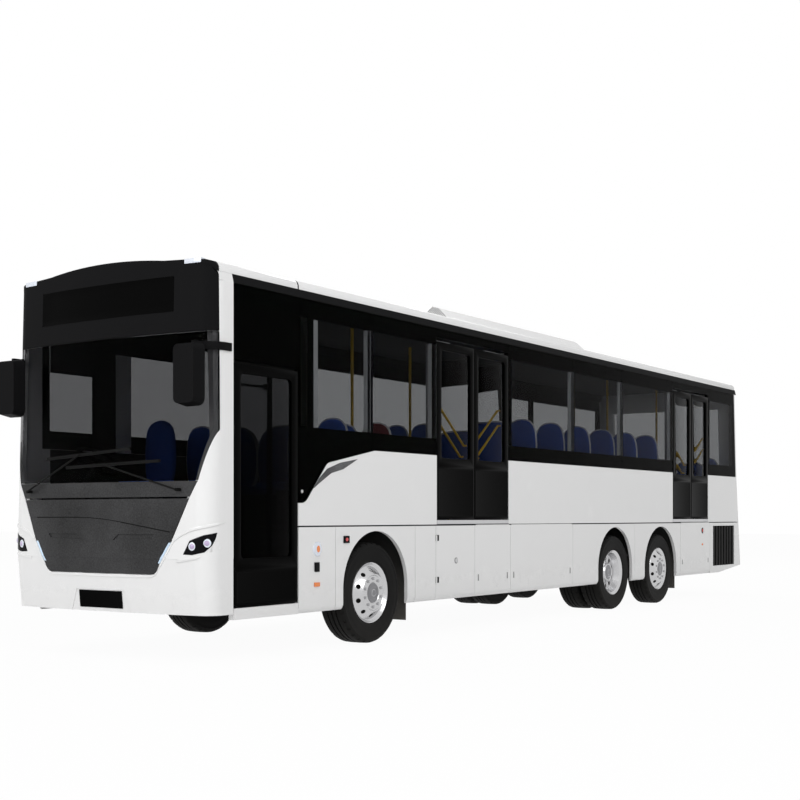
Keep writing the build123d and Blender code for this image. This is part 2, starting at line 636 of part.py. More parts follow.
with BuildPart() as window_frames:
    with BuildSketch(Plane.XZ.offset(-glass_y)) as swoosh_frame:
        with BuildLine():
            FilletPolyline(*swoosh, radius=swoosh_r)
            Polyline(swoosh[-1], (mid_door[1], belt_z), (mid_door[1], cantrail_z), (front_door[0], cantrail_z),
                     swoosh[0])
        make_face()
    extrude(swoosh_frame.sketch, amount=glass_y - inner_y)
    block((rear_door[1], mid_door[0]), (inner_y, glass_y), (belt_z, cantrail_z))
    side_plate(rear_edge(belt_z, cantrail_z) + [(rear_door[0], cantrail_z), (rear_door[0], belt_z)],
               (inner_y, glass_y))
    for low_x, high_x, posts in left_fields:
        edges = [low_x + frame_end, *post_edges(posts), high_x - frame_end]
        for window in zip(edges[::2], edges[1::2]):
            block(window, (inner_y, glass_y), (window_sill_z, window_head_z), Mode.SUBTRACT)
    block((rear_face_x(window_head_z) + rear_seam + frame_end, rear_door[0] - frame_end), (inner_y, glass_y),
          (window_sill_z, window_head_z), Mode.SUBTRACT)
    for (low_x, high_x), head_z in ((mid_door, door_head_z), (rear_door, door_head_z), (front_door, front_head_z)):
        block((low_x + fit, high_x - fit), (inner_y - header_deep, glass_y), (head_z, cantrail_z))
    side_plate(rear_edge(belt_z, cantrail_z) + [(pillar_x, cantrail_z), (pillar_x, belt_z)],
               (-glass_y, -inner_y))
    edges = [rear_face_x(window_head_z) + rear_seam + frame_end, *post_edges(right_posts), pillar_x - frame_end]
    for window in zip(edges[::2], edges[1::2]):
        block(window, (-glass_y, -inner_y), (window_sill_z, window_head_z), Mode.SUBTRACT)
finish(window_frames, "window_frames")

half_seam = seam / 2
with BuildPart() as side_glass:
    with BuildSketch(Plane.XZ.offset(-half_width)) as swoosh_glass:
        with BuildLine():
            FilletPolyline(*[(x - half_seam, z + seam) for x, z in swoosh], radius=swoosh_r)
            Polyline((swoosh[-1][0] - half_seam, belt_z + seam), (mid_door[1] + half_seam, belt_z + seam),
                     (mid_door[1] + half_seam, cantrail_z - half_seam),
                     (front_door[0] - half_seam, cantrail_z - half_seam), (front_door[0] - half_seam, swoosh[0][1] + seam))
        make_face()
    extrude(swoosh_glass.sketch, amount=glass_t)
    for x in left_posts[:1]:
        block((x - half_seam, x + half_seam), (glass_y, half_width), (belt_z - 100, cantrail_z), Mode.SUBTRACT)
    breaks = [rear_door[1]] + sorted(left_posts[1:]) + [mid_door[0]]
    for low_x, high_x in zip(breaks, breaks[1:]):
        block((low_x + half_seam, high_x - half_seam), (glass_y, half_width),
              (belt_z + seam, cantrail_z - half_seam))
    side_plate([(x + half_seam, z) for x, z in rear_edge(belt_z + seam, cantrail_z - half_seam)]
               + [(rear_door[0] - half_seam, cantrail_z - half_seam), (rear_door[0] - half_seam, belt_z + seam)],
               (glass_y, half_width))
    for (low_x, high_x), head_z in ((mid_door, door_head_z), (rear_door, door_head_z), (front_door, front_head_z)):
        block((low_x + half_seam, high_x - half_seam), (glass_y, half_width), (head_z, cantrail_z - half_seam))
    breaks = sorted(right_posts) + [pillar_x]
    for low_x, high_x in zip(breaks, breaks[1:]):
        block((low_x + half_seam, high_x - half_seam), (-half_width, -glass_y),
              (belt_z + seam, cantrail_z - half_seam))
    side_plate([(x + half_seam, z) for x, z in rear_edge(belt_z + seam, cantrail_z - half_seam)]
               + [(breaks[0] - half_seam, cantrail_z - half_seam), (breaks[0] - half_seam, belt_z + seam)],
               (-half_width, -glass_y))
finish(side_glass, "side_glass")

# Skirts: fixed panels and flaps of one rolled section, with the wheel arches cut out.
roll_r = 30.0


def skirt(low_x, high_x, side):
    with BuildSketch(Plane.YZ.offset(low_x)) as section:
        with BuildLine():
            roll = TangentArc((side * half_width, sill_z + 2 * roll_r), (side * (half_width - roll_r), sill_z),
                              tangent=(0, -1))
            Polyline(roll @ 1, (side * post_y, sill_z), (side * post_y, skirt_top_z),
                     (side * half_width, skirt_top_z), roll @ 0)
        make_face()
    extrude(section.sketch, amount=high_x - low_x)


grille_x = (front_axle_x - 10390.0, front_axle_x - 9410.0)
grille_foot_z, grille_top_z = 480.0, 1120.0
left_fixed = ((seam_x["a"], front_door[0]), (seam_x["b"], seam_x["a"]), (seam_x["c"], seam_x["b"]),
              (seam_x["g"], seam_x["f"]), (seam_x["h"], seam_x["g"]))
right_fixed = ((seam_x["a"], pillar_x), (seam_x["b"], seam_x["a"]), (seam_x["d"], seam_x["b"]),
               (seam_x["g"], seam_x["f"]), (seam_x["h"], seam_x["g"]), (seam_x["i"], seam_x["h"]))
with BuildPart() as skirts:
    for side, fixed in ((1, left_fixed), (-1, right_fixed)):
        for low_x, high_x in fixed:
            skirt(low_x + half_seam, high_x - half_seam, side)
        for arch_x, arch_half in arches:
            rod((arch_x, -half_width - 10, arch_top_z - arch_half), (arch_x, half_width + 10, arch_top_z - arch_half),
                arch_half, Mode.SUBTRACT)
            block((arch_x - arch_half, arch_x + arch_half), (-half_width - 10, half_width + 10),
                  (sill_z - 50, arch_top_z - arch_half), Mode.SUBTRACT)
        side_plate([(rear_face_x(z) + rear_seam + half_seam, z) for z in (rear_sill_z, skirt_top_z)]
                   + [(seam_x["i"] - half_seam, skirt_top_z), (seam_x["i"] - half_seam, sill_z),
                      (seam_x["i"] - 400, sill_z)], span(side * post_y, side * half_width))
        block(grille_x, span(side * post_y, side * half_width), (grille_foot_z, grille_top_z), Mode.SUBTRACT)
        if side > 0:
            block((front_door[0] + half_seam, pillar_x - half_seam), (inner_y, half_width),
                  (sill_z, front_leaf_foot_z - door_gap))
finish(skirts, "skirts")

slat_count = 8
with BuildPart() as radiator_grilles:
    slat_pitch = (grille_x[1] - grille_x[0]) / slat_count
    for side in (1, -1):
        block((grille_x[0] + fit, grille_x[1] - fit), span(side * post_y, side * (post_y + 12)),
              (grille_foot_z + fit, grille_top_z - fit))
        for n in range(slat_count):
            x = grille_x[0] + (n + 0.5) * slat_pitch
            block((x - slat_pitch * 0.3, x + slat_pitch * 0.3), span(side * (post_y + 12), side * (half_width - 4)),
                  (grille_foot_z + 2, grille_top_z - 2))
finish(radiator_grilles, "radiator_grilles")

locker_hinge_y, locker_hinge_z = half_width - 4.0, skirt_top_z + 4.0
locker_rod_r, locker_rod_end = 4.5, 30.0
# Flaps in the skirts. The fuel flap turns on a standing hinge at its front edge, the lockers on their top edge.
flap_hinge_y = half_width + 8.0
fuel_hinge_x = seam_x["c"] - half_seam
with BuildPart() as fuel_flap:
    skirt(seam_x["d"] + half_seam, seam_x["c"] - half_seam, 1)
    for z in (584.0, 1031.0):
        rod((fuel_hinge_x, flap_hinge_y, z - 35), (fuel_hinge_x, flap_hinge_y, z + 35), 7.5)
        block((fuel_hinge_x - 60, fuel_hinge_x), (half_width, half_width + 6), (z - 30, z + 30))
finish(fuel_flap, "fuel_flap")

for node, low_x, high_x, side in (("left_locker_flap_front", seam_x["e"], seam_x["d"], 1),
                                  ("left_locker_flap_rear", seam_x["f"], seam_x["e"], 1),
                                  ("left_service_flap", seam_x["i"], seam_x["h"], 1),
                                  ("right_locker_flap_front", seam_x["e"], seam_x["d"], -1),
                                  ("right_locker_flap_rear", seam_x["f"], seam_x["e"], -1)):
    with BuildPart() as locker_flap:
        skirt(low_x + half_seam, high_x - half_seam, side)
        rod((low_x + locker_rod_end, side * locker_hinge_y, locker_hinge_z),
            (high_x - locker_rod_end, side * locker_hinge_y, locker_hinge_z), locker_rod_r)
    finish(locker_flap, node)

# Rear cap: a leaning wall that turns the corners, with a window, the engine hatch and a header up to the roof.
hatch_half, hatch_foot_z, hatch_top_z = 900.0, 620.0, 1560.0
rear_glass_half, rear_glass_foot_z, rear_glass_top_z = 950.0, 2080.0, 3060.0
rear_corner_r = 80.0
hatch_t = 40.0
hatch_lip = 40.0
hatch_gap = 8.0
rear_levels = (rear_sill_z, belt_z, cantrail_z)


def rear_slab(levels, near, far):
    """Side outline of a slab along the rear face, between two depths inside it."""
    return ([(rear_face_x(z) + near, z) for z in levels]
            + [(rear_face_x(z) + far, z) for z in reversed(levels)])


def on_rear_corner(edge):
    middle = edge.center()
    return abs(middle.Y) > half_width - 1 and abs(middle.X - rear_face_x(middle.Z)) < 1


with BuildPart() as rear_cap:
    side_plate(rear_slab(rear_levels, 0, rear_seam), (-half_width, half_width))
    fillet(rear_cap.edges().filter_by(on_rear_corner), radius=rear_corner_r)
    side_plate(rear_slab(rear_levels, wall, rear_seam + 50), (-inner_y, inner_y), Mode.SUBTRACT)
    side_plate(rear_slab((hatch_foot_z, hatch_top_z), -20, hatch_t), (-hatch_half, hatch_half), Mode.SUBTRACT)
    block((rear_foot_x - 50, rear_foot_x + 500), (-hatch_half + hatch_lip, hatch_half - hatch_lip),
          (hatch_foot_z + hatch_lip, hatch_top_z - hatch_lip), Mode.SUBTRACT)
    block((rear_foot_x - 50, rear_foot_x + 500), (-rear_glass_half, rear_glass_half),
          (rear_glass_foot_z, rear_glass_top_z), Mode.SUBTRACT)
    header_y, header_top_y = inner_y - seam, shoulder_y - wall - seam
    with BuildSketch(Plane.YZ.offset(rear_top_x)) as rear_header:
        with BuildLine():
            under_roof = ThreePointArc((header_top_y, shoulder_z), (0, crown_z - roof_t - fit), (-header_top_y, shoulder_z))
            Polyline(under_roof @ 1, (-header_y, cantrail_z), (-header_y, cantrail_z - skin_t),
                     (header_y, cantrail_z - skin_t), (header_y, cantrail_z), under_roof @ 0)
        make_face()
    extrude(rear_header.sketch, amount=wall)
finish(rear_cap, "rear_cap")

with BuildPart() as rear_window:
    side_plate(rear_slab((rear_glass_foot_z + fit, rear_glass_top_z - fit), seam, seam + glass_t),
               (-rear_glass_half + fit, rear_glass_half - fit))
finish(rear_window, "rear_window")

hatch_levels = (hatch_foot_z + hatch_gap, hatch_top_z - hatch_gap)
hatch_rod_z = hatch_top_z - 4.5
hatch_rod_r = 4.2
hatch_seal = 2.0
with BuildPart() as engine_hatch:
    side_plate(rear_slab(hatch_levels, 0, hatch_t - hatch_seal), (-hatch_half + hatch_gap, hatch_half - hatch_gap))
    hatch_rod_x = rear_face_x(hatch_top_z) + 1.0
    rod((hatch_rod_x, -hatch_half + 60, hatch_rod_z), (hatch_rod_x, hatch_half - 60, hatch_rod_z), hatch_rod_r)
finish(engine_hatch, "engine_hatch")

# Double doors: each leaf hangs on two arms of a turning pillar and glides inwards.
window_margin = 85.0
leaf_window_foot_z = 1900.0


def double_door(door, front):
    """x of the pillar, of the leaf's pin and of the leaf's two edges, for the front or the rear leaf."""
    jamb, toward = (door[1], -1) if front else (door[0], 1)
    middle = (door[0] + door[1]) / 2
    outer = jamb + toward * door_gap
    closing = middle - toward * closing_gap / 2
    pillar = jamb - toward * pillar_inset
    arm = (abs(closing - pillar) + closing_short) / 2
    return pillar, pillar + toward * arm, outer, closing


for door_name, door in (("mid", mid_door), ("rear", rear_door)):
    for leaf_name, front in (("front", True), ("rear", False)):
        post_x, pin_x, outer_x, closing_x = double_door(door, front)
        leaf_x = span(outer_x, closing_x)
        opening_x = (leaf_x[0] + window_margin, leaf_x[1] - window_margin)
        opening_z = (leaf_window_foot_z, leaf_top_z - window_margin)
        with BuildPart() as leaf:
            block(leaf_x, (half_width - leaf_t, half_width), (leaf_foot_z, leaf_top_z))
            block(opening_x, (half_width - leaf_t, half_width), opening_z, Mode.SUBTRACT)
            for z in (leaf_foot_z, leaf_top_z - 16):
                block((pin_x - 25, pin_x + 25), (pillar_y - 18, half_width - leaf_t), (z, z + 16))
            rod((pin_x, pillar_y, leaf_foot_z - 30), (pin_x, pillar_y, leaf_foot_z + 8), pin_r)
            rod((pin_x, pillar_y, leaf_top_z - 8), (pin_x, pillar_y, leaf_top_z + 32), pin_r)
            block((opening_x[0] + fit, opening_x[1] - fit), (half_width - 24, half_width - 16),
                  (opening_z[0] + fit, opening_z[1] - fit))
        finish(leaf, f"{door_name}_door_{leaf_name}_leaf")
        with BuildPart() as arms:
            rod((post_x, pillar_y, deck_z), (post_x, pillar_y, door_head_z), pillar_r)
            for z in (leaf_foot_z - 16 - arm_t / 2, leaf_top_z + 8 + arm_t / 2):
                bar((post_x, pillar_y, z), (pin_x, pillar_y, z), 2 * arm_half, arm_t)
                rod((pin_x, pillar_y, z - arm_t / 2), (pin_x, pillar_y, z + arm_t / 2), arm_half)
                rod((pin_x, pillar_y, z - arm_t / 2), (pin_x, pillar_y, z + arm_t / 2), pin_r + running, Mode.SUBTRACT)
        finish(arms, f"{door_name}_door_{leaf_name}_arms")

# Front door: one leaf that swings out and forward on two arms of a standing post and stays parallel.
front_leaf_x = (front_door[0] + door_gap, front_door[1] - door_gap)
front_opening_x = (front_leaf_x[0] + window_margin, front_leaf_x[1] - window_margin)
front_opening_z = (900.0, front_leaf_top_z - window_margin)
front_arm_z = (780.0, 2430.0)
step_z = deck_z - 3 * step_rise
with BuildPart() as front_door_leaf:
    block(front_leaf_x, (half_width - leaf_t, half_width), (front_leaf_foot_z, front_leaf_top_z))
    block(front_opening_x, (half_width - leaf_t, half_width), front_opening_z, Mode.SUBTRACT)
    bridge_x = (front_pin[0] - 30, front_pin[0] + 30)
    block(bridge_x, (half_width - leaf_t, half_width - 26), front_opening_z)
    for z in front_arm_z:
        for lug_z in (z - arm_t / 2 - 16, z + arm_t / 2 + fit):
            block((front_pin[0] - 25, front_pin[0] + 25), (front_pin[1] - 25, half_width - leaf_t), (lug_z, lug_z + 15))
        rod((*front_pin, z - arm_t / 2 - 10), (*front_pin, z + arm_t / 2 + 10), pin_r)
    block((front_opening_x[0] + fit, front_opening_x[1] - fit), (half_width - 24, half_width - 16),
          (front_opening_z[0] + fit, front_opening_z[1] - fit))
finish(front_door_leaf, "front_door_leaf")

with BuildPart() as front_door_arms:
    rod((*front_post, step_z), (*front_post, front_head_z), pillar_r)
    for z in front_arm_z:
        bar((*front_post, z), (*front_pin, z), 2 * arm_half, arm_t)
        rod((*front_pin, z - arm_t / 2), (*front_pin, z + arm_t / 2), arm_half)
        rod((*front_pin, z - arm_t / 2), (*front_pin, z + arm_t / 2), pin_r + running, Mode.SUBTRACT)
finish(front_door_arms, "front_door_arms")

# Lamps, flush in the mask or on the skin.
# centre x, centre z, length, height of the lamps on each side
side_lamps = ((front_axle_x + 939.0, 962.0, 70.0, 130.0), (front_axle_x + 951.0, 793.0, 70.0, 90.0),
              (front_axle_x + 951.0, 629.0, 80.0, 40.0), (front_axle_x + 484.0, 1045.0, 90.0, 70.0))
tail_lamp_y = (960.0, 1120.0)
tail_lamp_z = ((640.0, 780.0), (790.0, 930.0), (940.0, 1080.0))
lamp_t = 14.0
lamp_inset = 2.0
lamp_wall = front_shell(lamp_inset, cover_t)
# marker lamps on the roof's front corners
marker_y, marker_h, marker_lean = (940.0, 1135.0), 30.0, 15.0
marker_x = [front_face_x(marker_y[1], shoulder_z) - back for back in (130.0, 30.0)]
with BuildPart() as lamps:
    add(lamp_wall)
    with BuildSketch(Plane.YZ.offset(lamp_back_x + fit)) as lamp_fields:
        for side in (1, -1):
            for outline in (lamp_outline, day_lamp_outline):
                with BuildLine():
                    Polyline(*[(side * y, z) for y, z in outline], close=True)
                make_face()
        offset(amount=-fit, mode=Mode.REPLACE)
    extrude(lamp_fields.sketch, amount=nose_x + 100 - corner_x, mode=Mode.INTERSECT)
    for side in (1, -1):
        for x, z, length, height in side_lamps:
            block((x - length / 2, x + length / 2), span(side * half_width, side * (half_width + lamp_t)),
                  (z - height / 2, z + height / 2))
        for low_z, high_z in tail_lamp_z:
            side_plate(rear_slab((low_z, high_z), -lamp_t, 0), span(side * tail_lamp_y[0], side * tail_lamp_y[1]))
    with BuildSketch(Plane.YZ.offset(marker_x[0])) as markers:
        for side in (1, -1):
            with BuildLine():
                near_y, middle_y, far_y = (side * y for y in (marker_y[0], sum(marker_y) / 2, marker_y[1]))
                base = ThreePointArc(*[(y, roof_z(y) + fit) for y in (near_y, middle_y, far_y)])
                Polyline(base @ 1, (far_y - side * marker_lean, roof_z(far_y) + marker_h),
                         (near_y + side * marker_lean, roof_z(near_y) + marker_h), base @ 0)
            make_face()
    extrude(markers.sketch, amount=marker_x[1] - marker_x[0])
finish(lamps, "lamps")

# Mirrors on arms that turn the front corners, and the wipers on the cowl.
mirror_arm_y = 1120.0
mirror_arm_z = (2690.0, 2760.0)
mirror_y = (990.0, 1262.0)
mirror_z = (2200.0, 2740.0)
mirror_x = (nose_x - 30.0, nose_x + 90.0)
mirror_base_x = pillar_x + 40.0
mirror_r, mirror_taper = 70.0, 10.0
mirror_wall = front_shell(-16, -1)
with BuildPart() as mirrors:
    add(mirror_wall)
    block((mirror_base_x, nose_x + 100), (-half_width - 40, half_width + 40), mirror_arm_z, Mode.INTERSECT)
    block((mirror_base_x - 100, nose_x + 100), (-mirror_arm_y, mirror_arm_y),
          (mirror_arm_z[0] - 10, mirror_arm_z[1] + 10), Mode.SUBTRACT)
    for side in (1, -1):
        block((mirror_base_x, mirror_base_x + 60), span(side * half_width, side * (half_width + 10)), mirror_arm_z)
        block((nose_x - 118, mirror_x[0] + 20), span(side * (mirror_arm_y + 5), side * (mirror_arm_y + 40)),
              (mirror_arm_z[0] + 5, mirror_arm_z[1] - 5))
    with BuildSketch(Plane.YZ.offset(mirror_x[0])) as heads:
        for side in (1, -1):
            with Locations((side * sum(mirror_y) / 2, sum(mirror_z) / 2)):
                RectangleRounded(mirror_y[1] - mirror_y[0], mirror_z[1] - mirror_z[0], mirror_r)
    extrude(heads.sketch, amount=mirror_x[1] - mirror_x[0], taper=mirror_taper)
finish(mirrors, "mirrors")

wiper_y, wiper_z = 944.0, 1498.0
wiper_stand, wiper_reach = 1.8, 54.0
wiper_pivot_r, wiper_arm_r = 14.0, 8.0
blade_gap, blade_t, blade_half = 2.0, 18.0, 13.0
# side of the pivot, y and z where the arm holds its blade, y and z of the blade's ends
wiper_table = ((1, (91.0, 1724.0), ((-420.0, 1711.0), (730.0, 1749.0))),
               (-1, (-236.0, 1824.0), ((-704.0, 1795.0), (393.0, 1860.0))))
blade_wall = front_shell(-blade_gap - blade_t, -blade_gap)
wiper_blades = front_field(blade_wall, [[(low_y, low_z - blade_half), (high_y, high_z - blade_half),
                                         (high_y, high_z + blade_half), (low_y, low_z + blade_half)]
                                        for _, _, ((low_y, low_z), (high_y, high_z)) in wiper_table])
with BuildPart() as wipers:
    add(wiper_blades)
    for side, (hold_y, hold_z), _ in wiper_table:
        foot = front_face_x(wiper_y, wiper_z) + wiper_stand
        knee = (foot + wiper_reach, side * wiper_y, wiper_z)
        rod((foot, side * wiper_y, wiper_z), knee, wiper_pivot_r)
        rod(knee, (front_face_x(hold_y, hold_z) + blade_gap + blade_t + wiper_arm_r / 2, hold_y, hold_z), wiper_arm_r)
finish(wipers, "wipers")

# Driver's place: dashboard with column, steering wheel, seat.
driver_y = -650.0
dash_x = (front_axle_x + 2060.0, front_axle_x + 2200.0)
dash_top_z = 1560.0
wheel_centre = Vector(front_axle_x + 1920.0, driver_y, 1790.0)
column_foot = Vector(front_axle_x + 2120.0, driver_y, 1500.0)
wheel_r, rim_t = 225.0, 26.0
column_run = (wheel_centre - column_foot).normalized()
with BuildPart() as dashboard:
    side_plate(((dash_x[0], deck_z), (dash_x[0] - 30, dash_top_z - 80), (dash_x[0] + 40, dash_top_z),
                (dash_x[1] - 20, dash_top_z), (dash_x[1], deck_z)), (-1130, well_y - 40))
    rod(tuple(column_foot), tuple(wheel_centre - column_run * 30), 30)
finish(dashboard, "dashboard")

with BuildPart() as steering_wheel:
    with BuildSketch(Plane(origin=tuple(wheel_centre), z_dir=tuple(column_run))) as wheel_section:
        Circle(wheel_r)
        Circle(wheel_r - rim_t, mode=Mode.SUBTRACT)
        Circle(45)
        with PolarLocations((wheel_r - rim_t) / 2 + 12, 3, start_angle=90):
            Rectangle(wheel_r - rim_t, 34)
    extrude(wheel_section.sketch, amount=rim_t / 2, both=True)
    rod(tuple(wheel_centre - column_run * (30 - fit)), tuple(wheel_centre), 24)
finish(steering_wheel, "steering_wheel")

seat_h, seat_t, back_h = 430.0, 90.0, 1050.0
back_r = 140.0


def seat(x, y, width, floor_z):
    """A seat facing forward: leg, cushion and a back with a rounded top; x is its rear."""
    block((x + 120, x + 320), (y - width / 4, y + width / 4), (floor_z, floor_z + seat_h - seat_t))
    block((x + 40, x + 500), (y - width / 2, y + width / 2), (floor_z + seat_h - seat_t, floor_z + seat_h))
    top_z = floor_z + back_h
    half_back = [(width / 2, floor_z + seat_h - seat_t), (width / 2, top_z - back_r),
                 (width / 2 - back_r * 0.3, top_z - back_r * 0.3), (width / 2 - back_r, top_z)]
    front_plate([(y + across, z) for across, z in half_back]
                + [(y - across, z) for across, z in reversed(half_back)], (x, x + seat_t))


seat_w = 420.0
seat_gap = 0.0
seat_pair_y = (inner_y - 40 - seat_w / 2, inner_y - 40 - 1.5 * seat_w - seat_gap)
seat_pitch = 760.0
left_rows = (front_axle_x + 250.0, front_axle_x - 510.0)
right_rows = (front_axle_x + 100.0, front_axle_x - 660.0, front_axle_x - 1420.0)
podest_rows = tuple(podest_x[0] + 60 + n * seat_pitch for n in range(6))
with BuildPart() as seats:
    for rows, sides, floor_z in ((left_rows, (1,), deck_z), (right_rows, (-1,), deck_z),
                                 (podest_rows, (1, -1), podest_z)):
        for x in rows:
            for side in sides:
                for y in seat_pair_y:
                    seat(x, side * y, seat_w, floor_z)
    for n in range(5):
        seat(deck_rear_x + 260, (n - 2) * (seat_w + seat_gap), seat_w, deck_z)
    seat(front_axle_x + 1020.0, driver_y, 500.0, deck_z)
finish(seats, "seats")

pole_r = 17.0
# x, y of the standing poles
aisle_y, pole_step = 285.0, 220.0
poles = ((front_door[0] - 60, aisle_y), (mid_door[1] + pole_step, aisle_y), (mid_door[0] - pole_step, aisle_y),
         (mid_door[1] + pole_step, -aisle_y), (mid_door[0] - pole_step, -aisle_y), (rear_door[1] + pole_step, aisle_y),
         (rear_door[0] - pole_step, aisle_y), (rear_door[1] + pole_step, -aisle_y))
with BuildPart() as grab_poles:
    for x, y in poles:
        rod((x, y, deck_z), (x, y, roof_z(y) - roof_t - 1), pole_r)
finish(grab_poles, "grab_poles")
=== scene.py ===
import json
import math

import bpy
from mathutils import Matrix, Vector


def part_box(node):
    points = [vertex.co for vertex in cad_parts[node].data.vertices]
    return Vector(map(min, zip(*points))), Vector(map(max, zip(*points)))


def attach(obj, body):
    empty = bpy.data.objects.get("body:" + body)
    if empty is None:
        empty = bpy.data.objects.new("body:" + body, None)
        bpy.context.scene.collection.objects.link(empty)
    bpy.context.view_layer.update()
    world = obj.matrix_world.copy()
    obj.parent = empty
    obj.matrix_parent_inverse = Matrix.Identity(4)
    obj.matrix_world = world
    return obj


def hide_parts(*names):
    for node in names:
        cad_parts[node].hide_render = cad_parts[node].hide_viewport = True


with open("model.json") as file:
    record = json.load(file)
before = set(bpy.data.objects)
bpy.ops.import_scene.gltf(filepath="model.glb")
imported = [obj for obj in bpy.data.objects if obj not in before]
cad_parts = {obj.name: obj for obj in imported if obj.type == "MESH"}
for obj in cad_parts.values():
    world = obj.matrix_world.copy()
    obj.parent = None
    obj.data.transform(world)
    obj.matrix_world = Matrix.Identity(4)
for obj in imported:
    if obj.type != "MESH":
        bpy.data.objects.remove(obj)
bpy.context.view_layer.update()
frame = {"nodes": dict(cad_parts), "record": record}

nodes = frame["nodes"]

# Underframe: rails, cross frames, axle beams, springs and wheelhouse plates under the floor.
# Pressed and cast steel in black chassis paint, dulled by road dirt; all bolted or riveted together.


def new_group(name, inputs, outputs):
    """An empty shader group with the named value, colour or vector sockets."""
    group = bpy.data.node_groups.new(name, "ShaderNodeTree")
    for direction, sockets in (("INPUT", inputs), ("OUTPUT", outputs)):
        for label, kind in sockets:
            group.interface.new_socket(label, in_out=direction, socket_type="NodeSocket" + kind)
    return group, group.nodes.new("NodeGroupInput"), group.nodes.new("NodeGroupOutput")


def add_node(tree, kind, inputs=None, **settings):
    """A node with its settings and its inputs, which are values or other nodes' outputs."""
    node = tree.nodes.new(kind)
    for key, value in settings.items():
        setattr(node, key, value)
    for key, value in (inputs or {}).items():
        if hasattr(value, "is_output"):
            tree.links.new(value, node.inputs[key])
        else:
            node.inputs[key].default_value = value
    return node


def add_math(tree, operation, *values, clamp=False):
    """The result of a maths node."""
    inputs = dict(enumerate(values))
    return add_node(tree, "ShaderNodeMath", inputs, operation=operation, use_clamp=clamp).outputs[0]


grain, grain_in, grain_out = new_group(
    "surface_grain",
    (("Colour", "Color"), ("Spread", "Float"), ("Roughness", "Float"), ("Unevenness", "Float"),
     ("Scale", "Float"), ("Relief", "Float")),
    (("Colour", "Color"), ("Roughness", "Float"), ("Normal", "Vector")))
given = grain_in.outputs
place = add_node(grain, "ShaderNodeTexCoord").outputs["Object"]
fine = add_node(grain, "ShaderNodeTexNoise",
                {"Vector": place, "Scale": given["Scale"], "Detail": 4.0, "Roughness": 0.6}).outputs["Fac"]
broad = add_node(grain, "ShaderNodeTexNoise",
                 {"Vector": place, "Scale": 1.7, "Detail": 3.0}).outputs["Fac"]
centred = add_math(grain, "SUBTRACT", add_math(grain, "ADD", fine, broad), 1.0)
tone = add_math(grain, "MULTIPLY_ADD", centred, given["Spread"], 1.0)
tinted = add_node(grain, "ShaderNodeVectorMath", {0: given["Colour"], "Scale": tone}, operation="SCALE")
rough = add_math(grain, "MULTIPLY_ADD", centred, given["Unevenness"], given["Roughness"], clamp=True)
relief = add_node(grain, "ShaderNodeBump", {"Strength": given["Relief"], "Distance": 0.002, "Height": fine})
grain.links.new(tinted.outputs[0], grain_out.inputs["Colour"])
grain.links.new(rough, grain_out.inputs["Roughness"])
grain.links.new(relief.outputs[0], grain_out.inputs["Normal"])

dust, dust_in, dust_out = new_group(
    "road_dust",
    (("Colour", "Color"), ("Roughness", "Float"), ("Dust", "Color"), ("Top", "Float"), ("Amount", "Float")),
    (("Colour", "Color"), ("Roughness", "Float")))
given = dust_in.outputs
place = add_node(dust, "ShaderNodeTexCoord").outputs["Object"]
height = add_node(dust, "ShaderNodeSeparateXYZ", {0: place}).outputs["Z"]
fade = add_node(dust, "ShaderNodeMapRange", {"Value": height, "From Min": given["Top"], "From Max": 0.1,
                                             "To Min": 0.0, "To Max": 1.0}).outputs[0]
spots = add_node(dust, "ShaderNodeTexNoise",
                 {"Vector": place, "Scale": 9.0, "Detail": 6.0, "Roughness": 0.7}).outputs["Fac"]
film = add_math(dust, "MULTIPLY", add_math(dust, "MULTIPLY", fade, spots), given["Amount"], clamp=True)
dusted = add_node(dust, "ShaderNodeMix", {0: film, 6: given["Colour"], 7: given["Dust"]}, data_type="RGBA")
dulled = add_node(dust, "ShaderNodeMix", {0: film, 2: given["Roughness"], 3: 0.9})
dust.links.new(dusted.outputs[2], dust_out.inputs["Colour"])
dust.links.new(dulled.outputs[0], dust_out.inputs["Roughness"])


def add_grain(tree, colour, roughness, spread=0.06, unevenness=0.1, scale=60.0, relief=0.05):
    """The grain of a finish."""
    return add_node(tree, "ShaderNodeGroup",
                    {"Colour": (*colour, 1.0), "Spread": spread, "Roughness": roughness,
                     "Unevenness": unevenness, "Scale": scale, "Relief": relief}, node_tree=grain)


def new_finish(name, colour, roughness, spread=0.06, unevenness=0.1, scale=60.0, relief=0.05,
               dust_top=None, dust_amount=0.5, dust_colour=(0.20, 0.18, 0.15, 1.0), **sockets):
    """A finish with grain, and road dust below a height if one is given; sockets are the shader's."""
    finish = bpy.data.materials.new(name)
    finish.use_nodes = True
    tree = finish.node_tree
    shader = tree.nodes["Principled BSDF"]
    for label, value in sockets.items():
        shader.inputs[label.replace("_", " ")].default_value = value
    texture = add_grain(tree, colour, roughness, spread, unevenness, scale, relief)
    surface = texture
    if dust_top is not None:
        surface = add_node(tree, "ShaderNodeGroup",
                           {"Colour": texture.outputs["Colour"], "Roughness": texture.outputs["Roughness"],
                            "Dust": dust_colour, "Top": dust_top, "Amount": dust_amount}, node_tree=dust)
    tree.links.new(surface.outputs["Colour"], shader.inputs["Base Color"])
    tree.links.new(surface.outputs["Roughness"], shader.inputs["Roughness"])
    tree.links.new(texture.outputs["Normal"], shader.inputs["Normal"])
    return finish


def dress(finish, *names):
    """Gives CAD nodes a finish in place of the plain one they come with."""
    for name in names:
        nodes[name].data.materials.clear()
        nodes[name].data.materials.append(finish)


